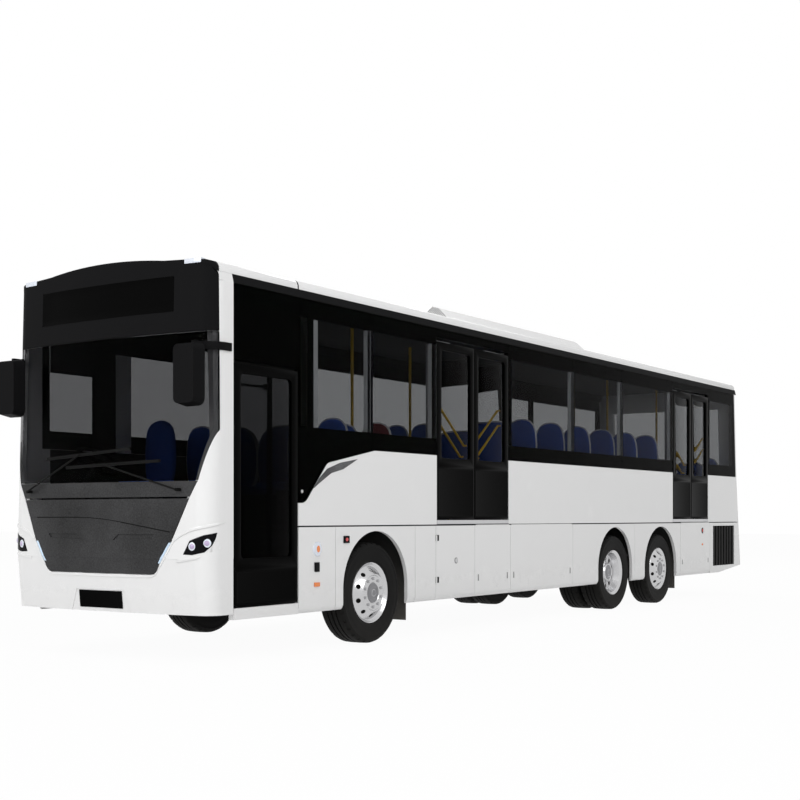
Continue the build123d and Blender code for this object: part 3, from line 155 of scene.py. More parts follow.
chassis_black = new_finish("chassis_black", (0.022, 0.022, 0.022), 0.55, scale=40.0, dust_top=1.1)
axle_casting = new_finish("axle_casting", (0.035, 0.034, 0.033), 0.6, scale=90.0, relief=0.25,
                          dust_top=0.8, dust_amount=0.6)
dress(chassis_black, "chassis_frame", "wheelhouse_plates")
dress(axle_casting, "front_axle_beam", "knuckle_left", "knuckle_right", "drive_axle", "tag_axle",
      "engine_block")

# Wheels: tubeless tyres on bright ventilated disc wheels, the drive axle with two a side on one hub.
# A tyre is moulded rubber with three tread grooves and cut shoulders. A disc is pressed and polished,
# with ten hand holes and ten nuts, and stands in front of a cast brake drum.
tyre_rubber = new_finish("tyre_rubber", (0.006, 0.006, 0.006), 0.72, scale=120.0, relief=0.12,
                         dust_top=0.9, dust_amount=0.05, Specular_IOR_Level=0.12)
bright_wheel = new_finish("bright_wheel", (0.56, 0.56, 0.57), 0.22, scale=70.0, Metallic=1.0,
                          dust_top=1.2, dust_amount=0.12)
hub_grey = new_finish("hub_grey", (0.22, 0.22, 0.23), 0.3, scale=70.0, Metallic=1.0)
tyre_low, tyre_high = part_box("front_left_tyre")
hub_z = (tyre_low[2] + tyre_high[2]) / 2
track_half = (tyre_low[1] + tyre_high[1]) / 2
twin_step = 0.330
wheel_steps = 96
hole_count = 10
# distance from the tyre's middle, radius
tyre_flank = ((0.112, 0.299), (0.128, 0.312), (0.140, 0.335), (0.139, 0.345), (0.1465, 0.385),
              (0.147, 0.420), (0.143, 0.452), (0.146, 0.460), (0.138, 0.484), (0.124, 0.497),
              (0.108, 0.5025), (0.060, 0.5046), (0.058, 0.492), (0.046, 0.492), (0.044, 0.505),
              (0.010, 0.505), (0.008, 0.492))
tyre_outline = (*tyre_flank, *[(-along, radius) for along, radius in reversed(tyre_flank)], tyre_flank[0])
convex_disc = ((0.172, 0.0), (0.172, 0.052), (0.168, 0.060), (0.160, 0.064), (0.160, 0.100),
               (0.166, 0.106), (0.166, 0.172), (0.172, 0.178), (0.172, 0.190), (0.166, 0.196),
               (0.106, 0.256), (0.100, 0.268), (0.108, 0.284), (0.122, 0.292), (0.130, 0.303),
               (0.124, 0.306), (0.114, 0.2985), (-0.110, 0.2975), (-0.118, 0.303), (-0.122, 0.300),
               (-0.112, 0.288), (0.080, 0.270), (0.094, 0.258), (0.152, 0.196), (0.152, 0.0))
dished_disc = ((0.070, 0.0), (0.070, 0.050), (0.066, 0.058), (0.058, 0.060), (0.058, 0.098),
               (0.064, 0.104), (0.064, 0.112), (0.056, 0.120), (0.024, 0.128), (0.020, 0.132),
               (0.020, 0.226), (0.026, 0.240), (0.104, 0.268), (0.118, 0.290), (0.130, 0.303),
               (0.124, 0.306), (0.114, 0.2985), (-0.440, 0.2975), (-0.440, 0.288), (0.0, 0.262),
               (0.010, 0.240), (0.010, 0.0))
steer_drum = ((0.100, 0.0), (0.100, 0.170), (0.070, 0.235), (-0.040, 0.235), (-0.040, 0.0465),
              (0.0905, 0.0465), (0.0905, 0.0))
twin_drum = ((0.004, 0.0), (0.004, 0.225), (-0.420, 0.245), (-0.420, 0.0465), (-0.0015, 0.0465),
             (-0.0015, 0.0))
steer_cap = ((0.1735, 0.0), (0.1735, 0.030), (0.1700, 0.034), (0.1735, 0.038), (0.1735, 0.054),
             (0.1660, 0.064), (0.1640, 0.080), (0.1660, 0.086), (0.1620, 0.098), (0.1590, 0.099),
             (0.1590, 0.0))
drive_cap_set_back = 0.102
drive_cap = [(along - drive_cap_set_back, radius) for along, radius in steer_cap]
drill_reach, nut_foot, nut_top, nut_crown = 0.05, 0.004, 0.014, 0.004
# radius and distance from the middle of the shoulder cuts
shoulder_r, shoulder_near, shoulder_far = 0.486, 0.105, 0.135


def mode(name):
    bpy.ops.object.mode_set(mode=name)


def select_only(piece):
    """Makes a piece the only selected one and the active one."""
    bpy.ops.object.select_all(action="DESELECT")
    piece.select_set(True)
    bpy.context.view_layer.objects.active = piece


def take_all():
    """Selects all of the edited piece."""
    bpy.ops.mesh.select_all(action="SELECT")


def extrude(run):
    """Extrudes what is selected along a run."""
    bpy.ops.mesh.extrude_region_move(TRANSFORM_OT_translate={"value": run})


def close_up():
    """Turns all faces of the edited piece outwards and ends the edit."""
    take_all()
    bpy.ops.mesh.normals_make_consistent(inside=False)
    mode("OBJECT")


def named(name):
    """Names the active piece and applies its place, turn and scale."""
    piece = bpy.context.object
    piece.name = name
    bpy.ops.object.transform_apply(location=True, rotation=True, scale=True)
    return piece


def reshape(piece, kind, **settings):
    """Applies a modifier to the active piece."""
    modifier = piece.modifiers.new(kind.lower(), kind)
    for key, value in settings.items():
        setattr(modifier, key, value)
    bpy.ops.object.modifier_apply(modifier=modifier.name)


def new_path(name, points):
    """A chain of edges through points, left in edit mode with all of it selected."""
    bpy.ops.object.select_all(action="DESELECT")
    bpy.ops.mesh.primitive_plane_add(size=0.1)
    piece = bpy.context.object
    piece.name = name
    mode("EDIT")
    bpy.ops.mesh.select_mode(type="VERT")
    take_all()
    bpy.ops.mesh.merge(type="CENTER")
    bpy.ops.transform.translate(value=points[0])
    for point, after in zip(points, points[1:]):
        extrude([b - a for a, b in zip(point, after)])
    take_all()
    return piece


def turned_piece(name, outline):
    """A piece turned about an axle across the bus; the outline goes by distance and radius."""
    piece = new_path(name, [(0.0, track_half + along, hub_z + radius) for along, radius in outline])
    bpy.ops.mesh.spin(steps=wheel_steps, angle=2 * math.pi, center=(0.0, 0.0, hub_z), axis=(0.0, 1.0, 0.0))
    take_all()
    bpy.ops.mesh.remove_doubles(threshold=0.00005)
    close_up()
    return piece


def pick(piece, kind, test):
    """Selects only those faces or edges of a piece in edit mode that pass a test."""
    bpy.ops.mesh.select_mode(type=kind)
    bpy.ops.mesh.select_all(action="DESELECT")
    mode("OBJECT")
    for item in piece.data.polygons if kind == "FACE" else piece.data.edges:
        item.select = test(item)
    mode("EDIT")


def new_rod(name, start, end, radius, sides=24):
    """A round rod between two points."""
    run = Vector(end) - Vector(start)
    bpy.ops.object.select_all(action="DESELECT")
    bpy.ops.mesh.primitive_cylinder_add(vertices=sides, radius=radius, depth=run.length,
                                        location=(Vector(start) + Vector(end)) / 2,
                                        rotation=run.to_track_quat("Z", "Y").to_euler())
    return named(name)


def join(name, pieces):
    """Joins pieces into the first of them."""
    select_only(pieces[0])
    for piece in pieces[1:]:
        piece.select_set(True)
    if len(pieces) > 1:
        bpy.ops.object.join()
    pieces[0].name = name
    return pieces[0]


def copy_piece(name, piece, move=(0.0, 0.0, 0.0), turn=0.0):
    """A copy with its own mesh, turned about the upright axis through the origin and then moved."""
    select_only(piece)
    bpy.ops.object.duplicate()
    bpy.context.object.rotation_euler = (0.0, 0.0, turn)
    bpy.context.object.location = move
    return named(name)


def soften(piece, width, segments=2):
    """Rounds the sharp edges of a piece."""
    select_only(piece)
    reshape(piece, "BEVEL", width=width, segments=segments, limit_method="ANGLE",
            angle_limit=math.radians(30.0))
    return piece


def settle(piece, finish, body, smooth=35.0):
    """Gives a finished piece its shading, its material and the body that it rides on."""
    select_only(piece)
    bpy.ops.object.shade_smooth_by_angle(angle=math.radians(smooth))
    piece.data.materials.clear()
    piece.data.materials.append(finish)
    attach(piece, body)
    return piece


def discard(*pieces):
    """Removes pieces that were only made to be copied or cut with."""
    for piece in pieces:
        bpy.data.objects.remove(piece)


def cut(piece, cutters):
    """Cuts joined bodies out of a piece."""
    cutter = join("cutter", cutters)
    bpy.context.view_layer.objects.active = piece
    reshape(piece, "BOOLEAN", operation="DIFFERENCE", solver="EXACT", object=cutter)
    discard(cutter)


def around_hub(n, along, radius):
    """The place of one of the holes or nuts round the hub."""
    angle = 2 * math.pi * (n + 0.5) / hole_count
    return Vector((radius * math.cos(angle), track_half + along, hub_z + radius * math.sin(angle)))


def drilled_disc(name, outline, hole, hole_lean, hole_r, nut_along, nut_ring, nut_r):
    """A disc wheel with its hand holes and nuts; the lean moves a drill outwards as it comes out."""
    disc = turned_piece(name, outline)
    drills = []
    for n in range(hole_count):
        ends = [around_hub(n, hole[0] + way * drill_reach, hole[1] + way * drill_reach * hole_lean)
                for way in (-1, 1)]
        drills.append(new_rod("drill", *ends, hole_r))
    cut(disc, drills)
    nut = new_rod("nut", around_hub(0, nut_along - nut_foot, nut_ring),
                  around_hub(0, nut_along + nut_top, nut_ring), nut_r, sides=6)
    mode("EDIT")
    pick(nut, "FACE", lambda face: face.normal.y > 0.9)
    bpy.ops.mesh.inset(thickness=nut_r * 0.2, depth=0.002)
    extrude((0.0, nut_crown, 0.0))
    mode("OBJECT")
    nuts = [nut]
    for n in range(1, hole_count):
        step = around_hub(n, 0.0, nut_ring) - around_hub(0, 0.0, nut_ring)
        nuts.append(copy_piece("nut", nut, move=step))
    return join(name, [disc, *nuts])


def on_shoulder(face):
    """Whether a face lies in one of the cuts of a tyre's shoulder, one step in three."""
    angle = math.atan2(face.center.z - hub_z, face.center.x)
    radius = math.hypot(face.center.z - hub_z, face.center.x)
    in_band = radius > shoulder_r and shoulder_near < abs(face.center.y - track_half) < shoulder_far
    return in_band and math.floor(wheel_steps * (angle / (2 * math.pi) + 1.0)) % 3 == 0


tyre = turned_piece("tyre", tyre_outline)
mode("EDIT")
pick(tyre, "FACE", on_shoulder)
bpy.ops.mesh.inset(thickness=0.003, depth=-0.006, use_individual=False)
mode("OBJECT")
inner_tyre = copy_piece("inner_tyre", tyre, move=(0.0, -twin_step, 0.0))
twin_tyre = join("twin_tyre", [copy_piece("twin_tyre", tyre), inner_tyre])
convex = drilled_disc("convex", convex_disc, (0.136, 0.226), 1.0, 0.025, 0.166, 0.142, 0.015)
dished = drilled_disc("dished", dished_disc, (0.015, 0.190), 0.0, 0.027, 0.020, 0.146, 0.012)
drum = turned_piece("drum", steer_drum)
wide_drum = turned_piece("wide_drum", twin_drum)
cap = turned_piece("cap", steer_cap)
deep_cap = turned_piece("deep_cap", drive_cap)
# axle, tyres, disc, drum, hub cap
for axle, rubber, disc, brake, cover in (("front", tyre, convex, drum, cap),
                                         ("drive", twin_tyre, dished, wide_drum, deep_cap),
                                         ("tag", tyre, convex, drum, cap)):
    for side, turn in (("left", 0.0), ("right", math.pi)):
        rim_low, rim_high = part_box(f"{axle}_{side}_rim")
        spot = ((rim_low[0] + rim_high[0]) / 2, 0.0, 0.0)
        wheel = f"{axle}_wheel_{side}"
        moulded = copy_piece(f"{axle}_{side}_moulded_tyre", rubber, spot, turn)
        settle(moulded, tyre_rubber, wheel)
        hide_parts(f"{axle}_{side}_tyre")
        polished = copy_piece(f"{axle}_{side}_disc_wheel", disc, spot, turn)
        settle(polished, bright_wheel, wheel)
        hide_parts(f"{axle}_{side}_rim")
        drum_copy = copy_piece(f"{axle}_{side}_brake_drum", brake, spot, turn)
        settle(drum_copy, chassis_black, wheel)
        settle(copy_piece(f"{axle}_{side}_hub_cap", cover, spot, turn), hub_grey, wheel)
discard(tyre, twin_tyre, convex, dished, drum, wide_drum, cap, deep_cap)

# Floor and lining: ply boards under dark grey sheet, and panels inside the roof and the walls in near-black
# painted shade, which darkens the saloon's inside.
# The boards are screwed to the cross frames; light metal plates cover the sills of the two double doors.
floor_sheet = new_finish("floor_sheet", (0.055, 0.057, 0.06), 0.7, scale=300.0, spread=0.5, relief=0.1)
# Painted shade: this near-black colour of the roof and wall panels stands in for the shade inside the saloon.
dark_lining = new_finish("dark_lining", (0.03, 0.03, 0.032), 0.75, scale=150.0, spread=0.2,
                         Specular_IOR_Level=0.2)
plate_metal = new_finish("plate_metal", (0.55, 0.55, 0.56), 0.38, scale=200.0, unevenness=0.2, Metallic=0.8)
dress(floor_sheet, "floor_deck")
half_width = 1.250
lining_y, lining_t = 1.188, 0.006
roof_shade_box = (-6.30, -1.10, 3.385), (6.20, 1.10, 3.393)
# low x, high x, side, foot, top; the last three frame the driver's window
wall_shade_boxes = ((2.92, 5.28, 1, 1.20, 1.92), (-3.66, 1.32, 1, 1.43, 1.92), (-6.38, -5.14, 1, 1.20, 1.92),
           (-6.38, 6.10, -1, 1.20, 1.92), (5.560, 6.100, -1, 2.670, 3.280),
           (5.240, 5.560, -1, 1.92, 3.280), (4.320, 5.240, -1, 2.930, 3.280))
# low x, high x of each double door
door_spans = {"mid_door": (1.335, 2.910), "rear_door": (-5.120, -3.670)}
sill_z, sill_gap, sill_proud = (1.186, 1.228), 0.004, 0.002


def new_block(name, low, high):
    """A block between two corners."""
    bpy.ops.object.select_all(action="DESELECT")
    bpy.ops.mesh.primitive_cube_add(size=1.0, location=[(a + b) / 2 for a, b in zip(low, high)])
    bpy.context.object.scale = [b - a for a, b in zip(low, high)]
    return named(name)


# Roof and wall panels whose dark colour is painted shade.
panels = [new_block("roof_panel", *roof_shade_box)]
for low_x, high_x, side, foot_z, top_z in wall_shade_boxes:
    near, far = sorted((side * (lining_y - lining_t), side * lining_y))
    panels.append(new_block("wall_panel", (low_x, near, foot_z), (high_x, far, top_z)))
settle(soften(join("saloon_lining", panels), 0.002), dark_lining, "bus_body")
sills = [new_block("sill", (low_x + sill_gap, half_width - sill_proud, sill_z[0]),
                   (high_x - sill_gap, half_width + sill_proud, sill_z[1]))
         for low_x, high_x in door_spans.values()]
settle(soften(join("door_sill_plates", sills), 0.001), plate_metal, "bus_body")

# Outer panels: glued aluminium and moulded skins in gloss white, with flaps hung in the skirts.
# The flaps have sunk latches near their lower corners, and the filler flap a round lock and black hinges.
white_paint = new_finish("white_paint", (0.80, 0.80, 0.80), 0.26, spread=0.02, unevenness=0.05, scale=240.0,
                         relief=0.012, Coat_Weight=0.3, Coat_Roughness=0.08, dust_top=0.75,
                         dust_amount=0.18, dust_colour=(0.45, 0.43, 0.40, 1.0))
grille_black = new_finish("grille_black", (0.005, 0.005, 0.005), 0.6, scale=150.0, Specular_IOR_Level=0.08)
latch_grey = new_finish("latch_grey", (0.25, 0.25, 0.25), 0.5, scale=150.0)
flaps = ("left_locker_flap_front", "left_locker_flap_rear", "left_service_flap", "right_locker_flap_front",
         "right_locker_flap_rear")
dress(white_paint, "front_mask", "roof_shell", "roof_air_conditioner", "waist_panels", "skirts", "fuel_flap",
      *flaps, "rear_cap", "engine_hatch")
latch_z, latch_inset, latch_proud = 0.580, 0.075, 0.0015
latch_half = (0.012, 0.036)
for flap in flaps:
    low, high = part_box(flap)
    face_y = half_width if flap.startswith("left") else -half_width
    latches = []
    for x in (low[0] + latch_inset, high[0] - latch_inset):
        latches.append(new_block("latch", (x - latch_half[0], face_y - latch_proud, latch_z - latch_half[1]),
                                 (x + latch_half[0], face_y + latch_proud, latch_z + latch_half[1])))
    settle(soften(join(f"{flap}_latches", latches), 0.001), latch_grey, flap)


def new_stud(name, x, z, radius, proud):
    """A round fitting in the left side's skin."""
    return new_rod(name, (x, half_width - 0.002, z), (x, half_width + proud, z), radius)


lock_x, lock_z, collar_r, lock_r = 2.516, 0.785, 0.034, 0.0238
collar = new_stud("filler_collar", lock_x, lock_z, collar_r, 0.003)
settle(soften(collar, 0.001), latch_grey, "fuel_flap")
lock = new_stud("filler_lock", lock_x, lock_z, lock_r, 0.006)
settle(soften(lock, 0.002), plate_metal, "fuel_flap")
hinge_x, hinge_half, hinge_proud = (2.876, 2.934), 0.032, 0.0075
hinges = [new_block("hinge", (hinge_x[0], half_width - 0.002, z - hinge_half),
                    (hinge_x[1], half_width + hinge_proud, z + hinge_half)) for z in (0.587, 1.037)]
settle(soften(join("filler_hinges", hinges), 0.003), grille_black, "fuel_flap")

# Sculpted mask: a raised lip round the dark service panel, and a brow and a crease that frame each headlamp.
# They are moulded with the white mask.
lip_width, lip_rise, lip_x = 0.018, 0.007, 6.57
brow_width, brow_rise = 0.024, 0.010
# what lies on a skin is let into it by this much
sink = 0.0005
# y and z from the middle of the bumper up the panel's side
lip_path = ((0.0, 0.744), (0.300, 0.744), (0.600, 0.744), (0.650, 0.752), (0.686, 0.775), (0.714, 0.820),
            (0.756, 0.861), (0.876, 1.042), (0.930, 1.105))
# x, y and z from the panel round the corner
brow_path = ((6.554, 0.880, 1.060), (6.544, 0.953, 1.105), (6.531, 1.051, 1.148), (6.513, 1.144, 1.170),
             (6.467, 1.208, 1.186), (6.389, 1.246, 1.203), (6.300, 1.250, 1.218))
crease_path = ((6.550, 0.922, 0.885), (6.542, 1.021, 0.900), (6.528, 1.121, 0.917), (6.458, 1.195, 0.950),
               (6.355, 1.250, 1.000))


def skin_patch(name, outline, ground, rise, cuts):
    """A patch that follows the skin of another piece inside an outline and stands proud of it."""
    patch = new_path(name, [*outline, outline[0]])
    bpy.ops.mesh.remove_doubles(threshold=0.0001)
    bpy.ops.mesh.fill()
    bpy.ops.mesh.subdivide(number_cuts=cuts)
    mode("OBJECT")
    reshape(patch, "SHRINKWRAP", target=ground, wrap_mode="ABOVE_SURFACE", offset=rise / 2 - sink)
    reshape(patch, "SOLIDIFY", thickness=rise, offset=0.0)
    mode("EDIT")
    close_up()
    return patch


def band(points, width):
    """The outline of a band along points, its width laid across them as seen from the front."""
    above, below = [], []
    for n, point in enumerate(points):
        before, after = points[max(n - 1, 0)], points[min(n + 1, len(points) - 1)]
        run = Vector((0.0, after[1] - before[1], after[2] - before[2])).normalized()
        across = Vector((0.0, -run.z, run.y)) * width / 2
        above.append(Vector(point) + across)
        below.append(Vector(point) - across)
    return [*above, *reversed(below)]


mask = nodes["front_mask"]
lip_points = [(lip_x, -y, z) for y, z in reversed(lip_path[1:])] + [(lip_x, y, z) for y, z in lip_path]
ridges = [soften(skin_patch("lip", band(lip_points, lip_width), mask, lip_rise, 2), 0.003)]
for side in (1, -1):
    for ridge_path in (brow_path, crease_path):
        points = [(x, side * y, z) for x, y, z in ridge_path]
        ridges.append(soften(skin_patch("brow", band(points, brow_width), mask, brow_rise, 2), 0.004))
settle(join("mask_ridges", ridges), white_paint, "bus_body")

# Roof edges: white fairings along both sides of the roof, in two lengths with a dark seam behind the front
# door, and black caps where they meet the header. Moulded shells bonded on.
# y and z round a fairing
fairing_section = ((1.2345, 3.366), (1.233, 3.400), (1.222, 3.430), (1.200, 3.450), (1.150, 3.464),
                   (1.000, 3.474), (0.800, 3.483), (0.690, 3.4886), (0.690, 3.4840), (0.950, 3.4480),
                   (1.190, 3.4050), (1.225, 3.3680))
fairing_seam_x = (5.267, 5.283)
fairing_x = ((-6.360, fairing_seam_x[0]), (fairing_seam_x[1], 6.360))
cap_x = (6.361, 6.600)
# where the header's skin is felt for the front of a cap
header_skin_y, header_skin_z, before_front_x = (0.72, 0.90, 1.05, 1.14, 1.19), 3.395, 7.5


def new_prism(name, outline, run):
    """A prism with an outline as its foot."""
    piece = new_path(name, [*outline, outline[0]])
    bpy.ops.mesh.remove_doubles(threshold=0.0001)
    bpy.ops.mesh.edge_face_add()
    extrude(run)
    close_up()
    return piece


def new_fairing(name, side, x):
    """A length of the fairing on one side of the roof."""
    return new_prism(name, [(x[0], side * y, z) for y, z in fairing_section], (x[1] - x[0], 0.0, 0.0))


fairings, caps = [], []
for side in (1, -1):
    fairings += [new_fairing("fairing", side, x) for x in fairing_x]
    caps.append(new_fairing("seam", side, fairing_seam_x))
    cap = new_fairing("cap", side, cap_x)
    mode("EDIT")
    for y in header_skin_y:
        _, spot, outward, _ = nodes["upper_trim"].ray_cast((before_front_x, side * y, header_skin_z),
                                                           (-1.0, 0.0, 0.0))
        take_all()
        bpy.ops.mesh.bisect(plane_co=spot, plane_no=outward, clear_outer=True, use_fill=True)
    mode("OBJECT")
    caps.append(soften(cap, 0.002))
settle(soften(join("roof_edge_fairings", fairings), 0.003), white_paint, "bus_body")

# Roof cooler's louvres: black slats set in the slots of the pod's sloping front, as painted shade for the
# dark insides of the slots.
louvre_count = 9
# x and z of the slope's ends, y and z of the pod's shoulder and side
slope_top, slope_foot = (1.950, 3.740), (2.510, 3.533)
pod_shoulder, pod_side = (0.680, 3.680), (0.800, 3.5636)
shade_half_x, shade_half_y, shade_depth, shade_top = 0.011, 0.618, 0.029, 3.690


def on_slope(n):
    """x and z of one of the louvres."""
    share = (n + 1) / (louvre_count + 1)
    return [a + (b - a) * share for a, b in zip(slope_top, slope_foot)]


# Painted shade: black boxes and rods in the slots stand in for the shade inside them.
slot_shades = []
for n in range(louvre_count):
    x, z = on_slope(n)
    slot_shades.append(new_block("slat", (x - shade_half_x, -shade_half_y, z - shade_depth),
                           (x + shade_half_x, shade_half_y, min(z - 0.002, shade_top))))
for n in range(louvre_count - 1):
    x, z = on_slope(n)
    inner_z = min(z, pod_shoulder[1]) - 0.004
    fall = (pod_shoulder[1] - inner_z) / (pod_shoulder[1] - pod_side[1])
    inner_y = pod_shoulder[0] + fall * (pod_side[0] - pod_shoulder[0])
    for side in (1, -1):
        slot_shades.append(new_rod("slat_end", (x, side * inner_y, inner_z), (x, side * pod_side[0], pod_side[1]),
                             0.004, 10))
settle(soften(join("cooler_louvres", slot_shades), 0.001), grille_black, "bus_body")

# Side trim: a perforated gill in the swept edge of the white panel, with a small round lock in front of it.
# Both are pressed in from outside.
gill_mesh = new_finish("gill_mesh", (0.10, 0.10, 0.105), 0.5, scale=160.0, spread=3.0, relief=0.5,
                       Specular_IOR_Level=0.2)
# x and z
gill_outline = ((5.070, 1.528), (4.975, 1.632), (4.855, 1.722), (4.655, 1.784), (4.360, 1.830),
                (4.600, 1.724), (4.790, 1.682), (4.985, 1.578))
gill = skin_patch("side_gill", [(x, half_width, z) for x, z in gill_outline], nodes["waist_panels"], 0.004, 2)
settle(soften(gill, 0.001), gill_mesh, "bus_body")
key_lock = new_stud("panel_lock", 5.240, 1.500, 0.016, 0.003)
settle(soften(key_lock, 0.0015), plate_metal, "bus_body")

# Dark front: a moulded service panel with a fine pebbled face and a black strip of painted shade in its
# groove, the cowl above it, the black header with its sign, and a blank number plate screwed into its recess
# in the bumper.
grey_panel = new_finish("grey_panel", (0.026, 0.026, 0.027), 0.6, scale=75.0, spread=2.4, relief=0.5,
                        Specular_IOR_Level=0.22)
header_black = new_finish("header_black", (0.0055, 0.0055, 0.006), 0.6, scale=120.0, relief=0.01,
                          Specular_IOR_Level=0.04)
gloss_black = new_finish("gloss_black", (0.0015, 0.0015, 0.0015), 0.3, scale=120.0, relief=0.005,
                         Specular_IOR_Level=0.015)
dress(grey_panel, "front_panel", "wiper_cowl", "dashboard")
dress(header_black, "upper_trim", "mirrors")
dress(grille_black, "radiator_grilles", "wipers", "steering_wheel")
settle(join("header_caps", caps), header_black, "bus_body")
# y and z along the groove of the service panel
groove_line = ((-0.850, 1.2605), (-0.300, 1.2605), (-0.150, 1.2577), (0.0, 1.2495), (0.150, 1.2355),
               (0.300, 1.2158), (0.845, 1.1346))
groove_x, groove_shade_width, groove_shade_rise = 6.585, 0.010, 0.002
# Painted shade: a thin black strip along the panel's groove, where its shade falls.
groove_shade = skin_patch("panel_crease", band([(groove_x, y, z) for y, z in groove_line], groove_shade_width),
                   nodes["front_panel"], groove_shade_rise, 2)
settle(groove_shade, grille_black, "front_panel")
sign_half, sign_foot_z, sign_top_z, sign_x = 0.828, 3.043, 3.336, 6.580
sign = skin_patch("sign_pane", [(sign_x, -sign_half, sign_foot_z), (sign_x, sign_half, sign_foot_z),
                                (sign_x, sign_half, sign_top_z), (sign_x, -sign_half, sign_top_z)],
                  nodes["upper_trim"], 0.003, 16)
settle(sign, gloss_black, "bus_body")
plate_half, plate_foot_z, plate_top_z = 0.270, 0.452, 0.607
plate_x, plate_tuck = (6.559, 6.5655), 0.0145
plate = new_block("number_plate", (plate_x[0], -plate_half, plate_foot_z),
                  (plate_x[1], plate_half, plate_top_z))
mode("EDIT")
pick(plate, "FACE", lambda face: face.normal.z < -0.9)
bpy.ops.transform.translate(value=(-plate_tuck, 0.0, 0.0))
pick(plate, "FACE", lambda face: face.normal.x > 0.9)
bpy.ops.mesh.inset(thickness=0.006)
bpy.ops.mesh.inset(thickness=0.002, depth=-0.0015)
mode("OBJECT")
settle(soften(plate, 0.0015), gloss_black, "bus_body")

# Mirrors: silvered glass in the back of each black head.
mirror_silver = new_finish("mirror_silver", (0.80, 0.80, 0.82), 0.03, spread=0.0, unevenness=0.02, relief=0.0,
                           Metallic=1.0)
mirror_x, mirror_y, mirror_z, mirror_corner = (6.566, 6.571), (1.016, 1.236), (2.245, 2.695), 0.045
for side_name, side in (("left", 1), ("right", -1)):
    near, far = sorted(side * y for y in mirror_y)
    silver = new_block(f"{side_name}_mirror_glass", (mirror_x[0], near, mirror_z[0]),
                       (mirror_x[1], far, mirror_z[1]))

    def through(edge):
        """Whether an edge of the glass runs through its thickness."""
        ends = [silver.data.vertices[n].co.x for n in edge.vertices]
        return abs(ends[0] - ends[1]) > 0.002

    mode("EDIT")
    pick(silver, "EDGE", through)
    bpy.ops.mesh.bevel(offset=mirror_corner, segments=6, affect="EDGES")
    mode("OBJECT")
    settle(silver, mirror_silver, "bus_body")

# Glazing: toughened tinted panes bonded to the frames, black all round their edges.
glass_ior, glass_haze = 1.05, 0.006


def new_glass(name, tint):
    """Tinted glass with faint ripples in its gloss."""
    glass = bpy.data.materials.new(name)
    glass.use_nodes = True
    tree = glass.node_tree
    shader = tree.nodes["Principled BSDF"]
    shader.inputs["Base Color"].default_value = (*tint, 1.0)
    shader.inputs["Transmission Weight"].default_value = 1.0
    shader.inputs["IOR"].default_value = glass_ior
    where = add_node(tree, "ShaderNodeTexCoord").outputs["Object"]
    ripple = add_node(tree, "ShaderNodeTexNoise", {"Vector": where, "Scale": 3.0, "Detail": 2.0})
    smear = add_node(tree, "ShaderNodeMapRange",
                     {"Value": ripple.outputs["Fac"], "To Min": 0.0, "To Max": glass_haze})
    tree.links.new(smear.outputs[0], shader.inputs["Roughness"])
    return glass


side_tint = new_glass("side_tint", (0.35, 0.355, 0.36))
screen_tint = new_glass("screen_tint", (0.24, 0.24, 0.245))
door_tint = new_glass("door_tint", (0.05, 0.05, 0.052))
dress(side_tint, "side_glass", "rear_window")
dress(screen_tint, "windscreen")

# Window frames: welded tubes behind the glass, black at the rails and light grey at the standing posts.
# A light cover is clipped over the post behind the front door, and one over the driver's.
# middle x of the posts on both sides and of the frames' ends on the door side
post_x = (4.135, 2.960, 1.290, -0.355, -1.855, -3.625, 5.200, 3.700)
post_half, post_middle_z, post_half_z = 0.050, 2.610, 0.505
light_grey = (0.80, 0.81, 0.82)
frame_black = bpy.data.materials.new("frame_black")
frame_black.use_nodes = True
tree = frame_black.node_tree
shader = tree.nodes["Principled BSDF"]
shader.inputs["Specular IOR Level"].default_value = 0.03
where = add_node(tree, "ShaderNodeTexCoord").outputs["Object"]
split = add_node(tree, "ShaderNodeSeparateXYZ", {0: where}).outputs
posts = 0.0
for x in post_x:
    posts = add_math(tree, "MAXIMUM", posts, add_math(tree, "COMPARE", split["X"], x, post_half))
level = add_math(tree, "COMPARE", split["Z"], post_middle_z, post_half_z)
on_post = add_math(tree, "MULTIPLY", posts, level)
grey_side = add_grain(tree, light_grey, 0.5, scale=80.0)
dark_side = add_grain(tree, (0.003, 0.003, 0.003), 0.6, scale=80.0)
paint = add_node(tree, "ShaderNodeMix", {0: on_post, 6: dark_side.outputs["Colour"],
                                         7: grey_side.outputs["Colour"]}, data_type="RGBA")
tree.links.new(paint.outputs[2], shader.inputs["Base Color"])
tree.links.new(dark_side.outputs["Roughness"], shader.inputs["Roughness"])
tree.links.new(dark_side.outputs["Normal"], shader.inputs["Normal"])
dress(frame_black, "window_frames")
post_grey = new_finish("post_grey", light_grey, 0.5, scale=80.0)
# name, low corner, high corner, rounding
for name, low, high, width in (
        ("front_window_post", (4.985, 1.192, 2.105), (5.068, 1.2385, 3.112), 0.004),
        ("cab_post_cover", (5.022, -lining_y, 1.920), (5.235, lining_t - lining_y, 2.930), 0.002)):
    settle(soften(new_block(name, low, high), width), post_grey, "bus_body")

# Doors: black leaves with a tinted pane in the upper part, on grey arms of turning pillars.
# Each half of a double door has two yellow rails inside, which run down to the closing edge.
frame_grey = new_finish("frame_grey", (0.30, 0.31, 0.32), 0.45, scale=80.0)
yellow_tube = new_finish("yellow_tube", (0.75, 0.47, 0.02), 0.35, scale=60.0)
leaf_t, leaf_margin, pane_lap = 0.040, 0.085, 0.012
inner_face_y = half_width - leaf_t
pane_y = (half_width - 0.016, half_width - 0.010)
window_corner = 0.045
double_window_foot, front_window_foot = 1.900, 0.900
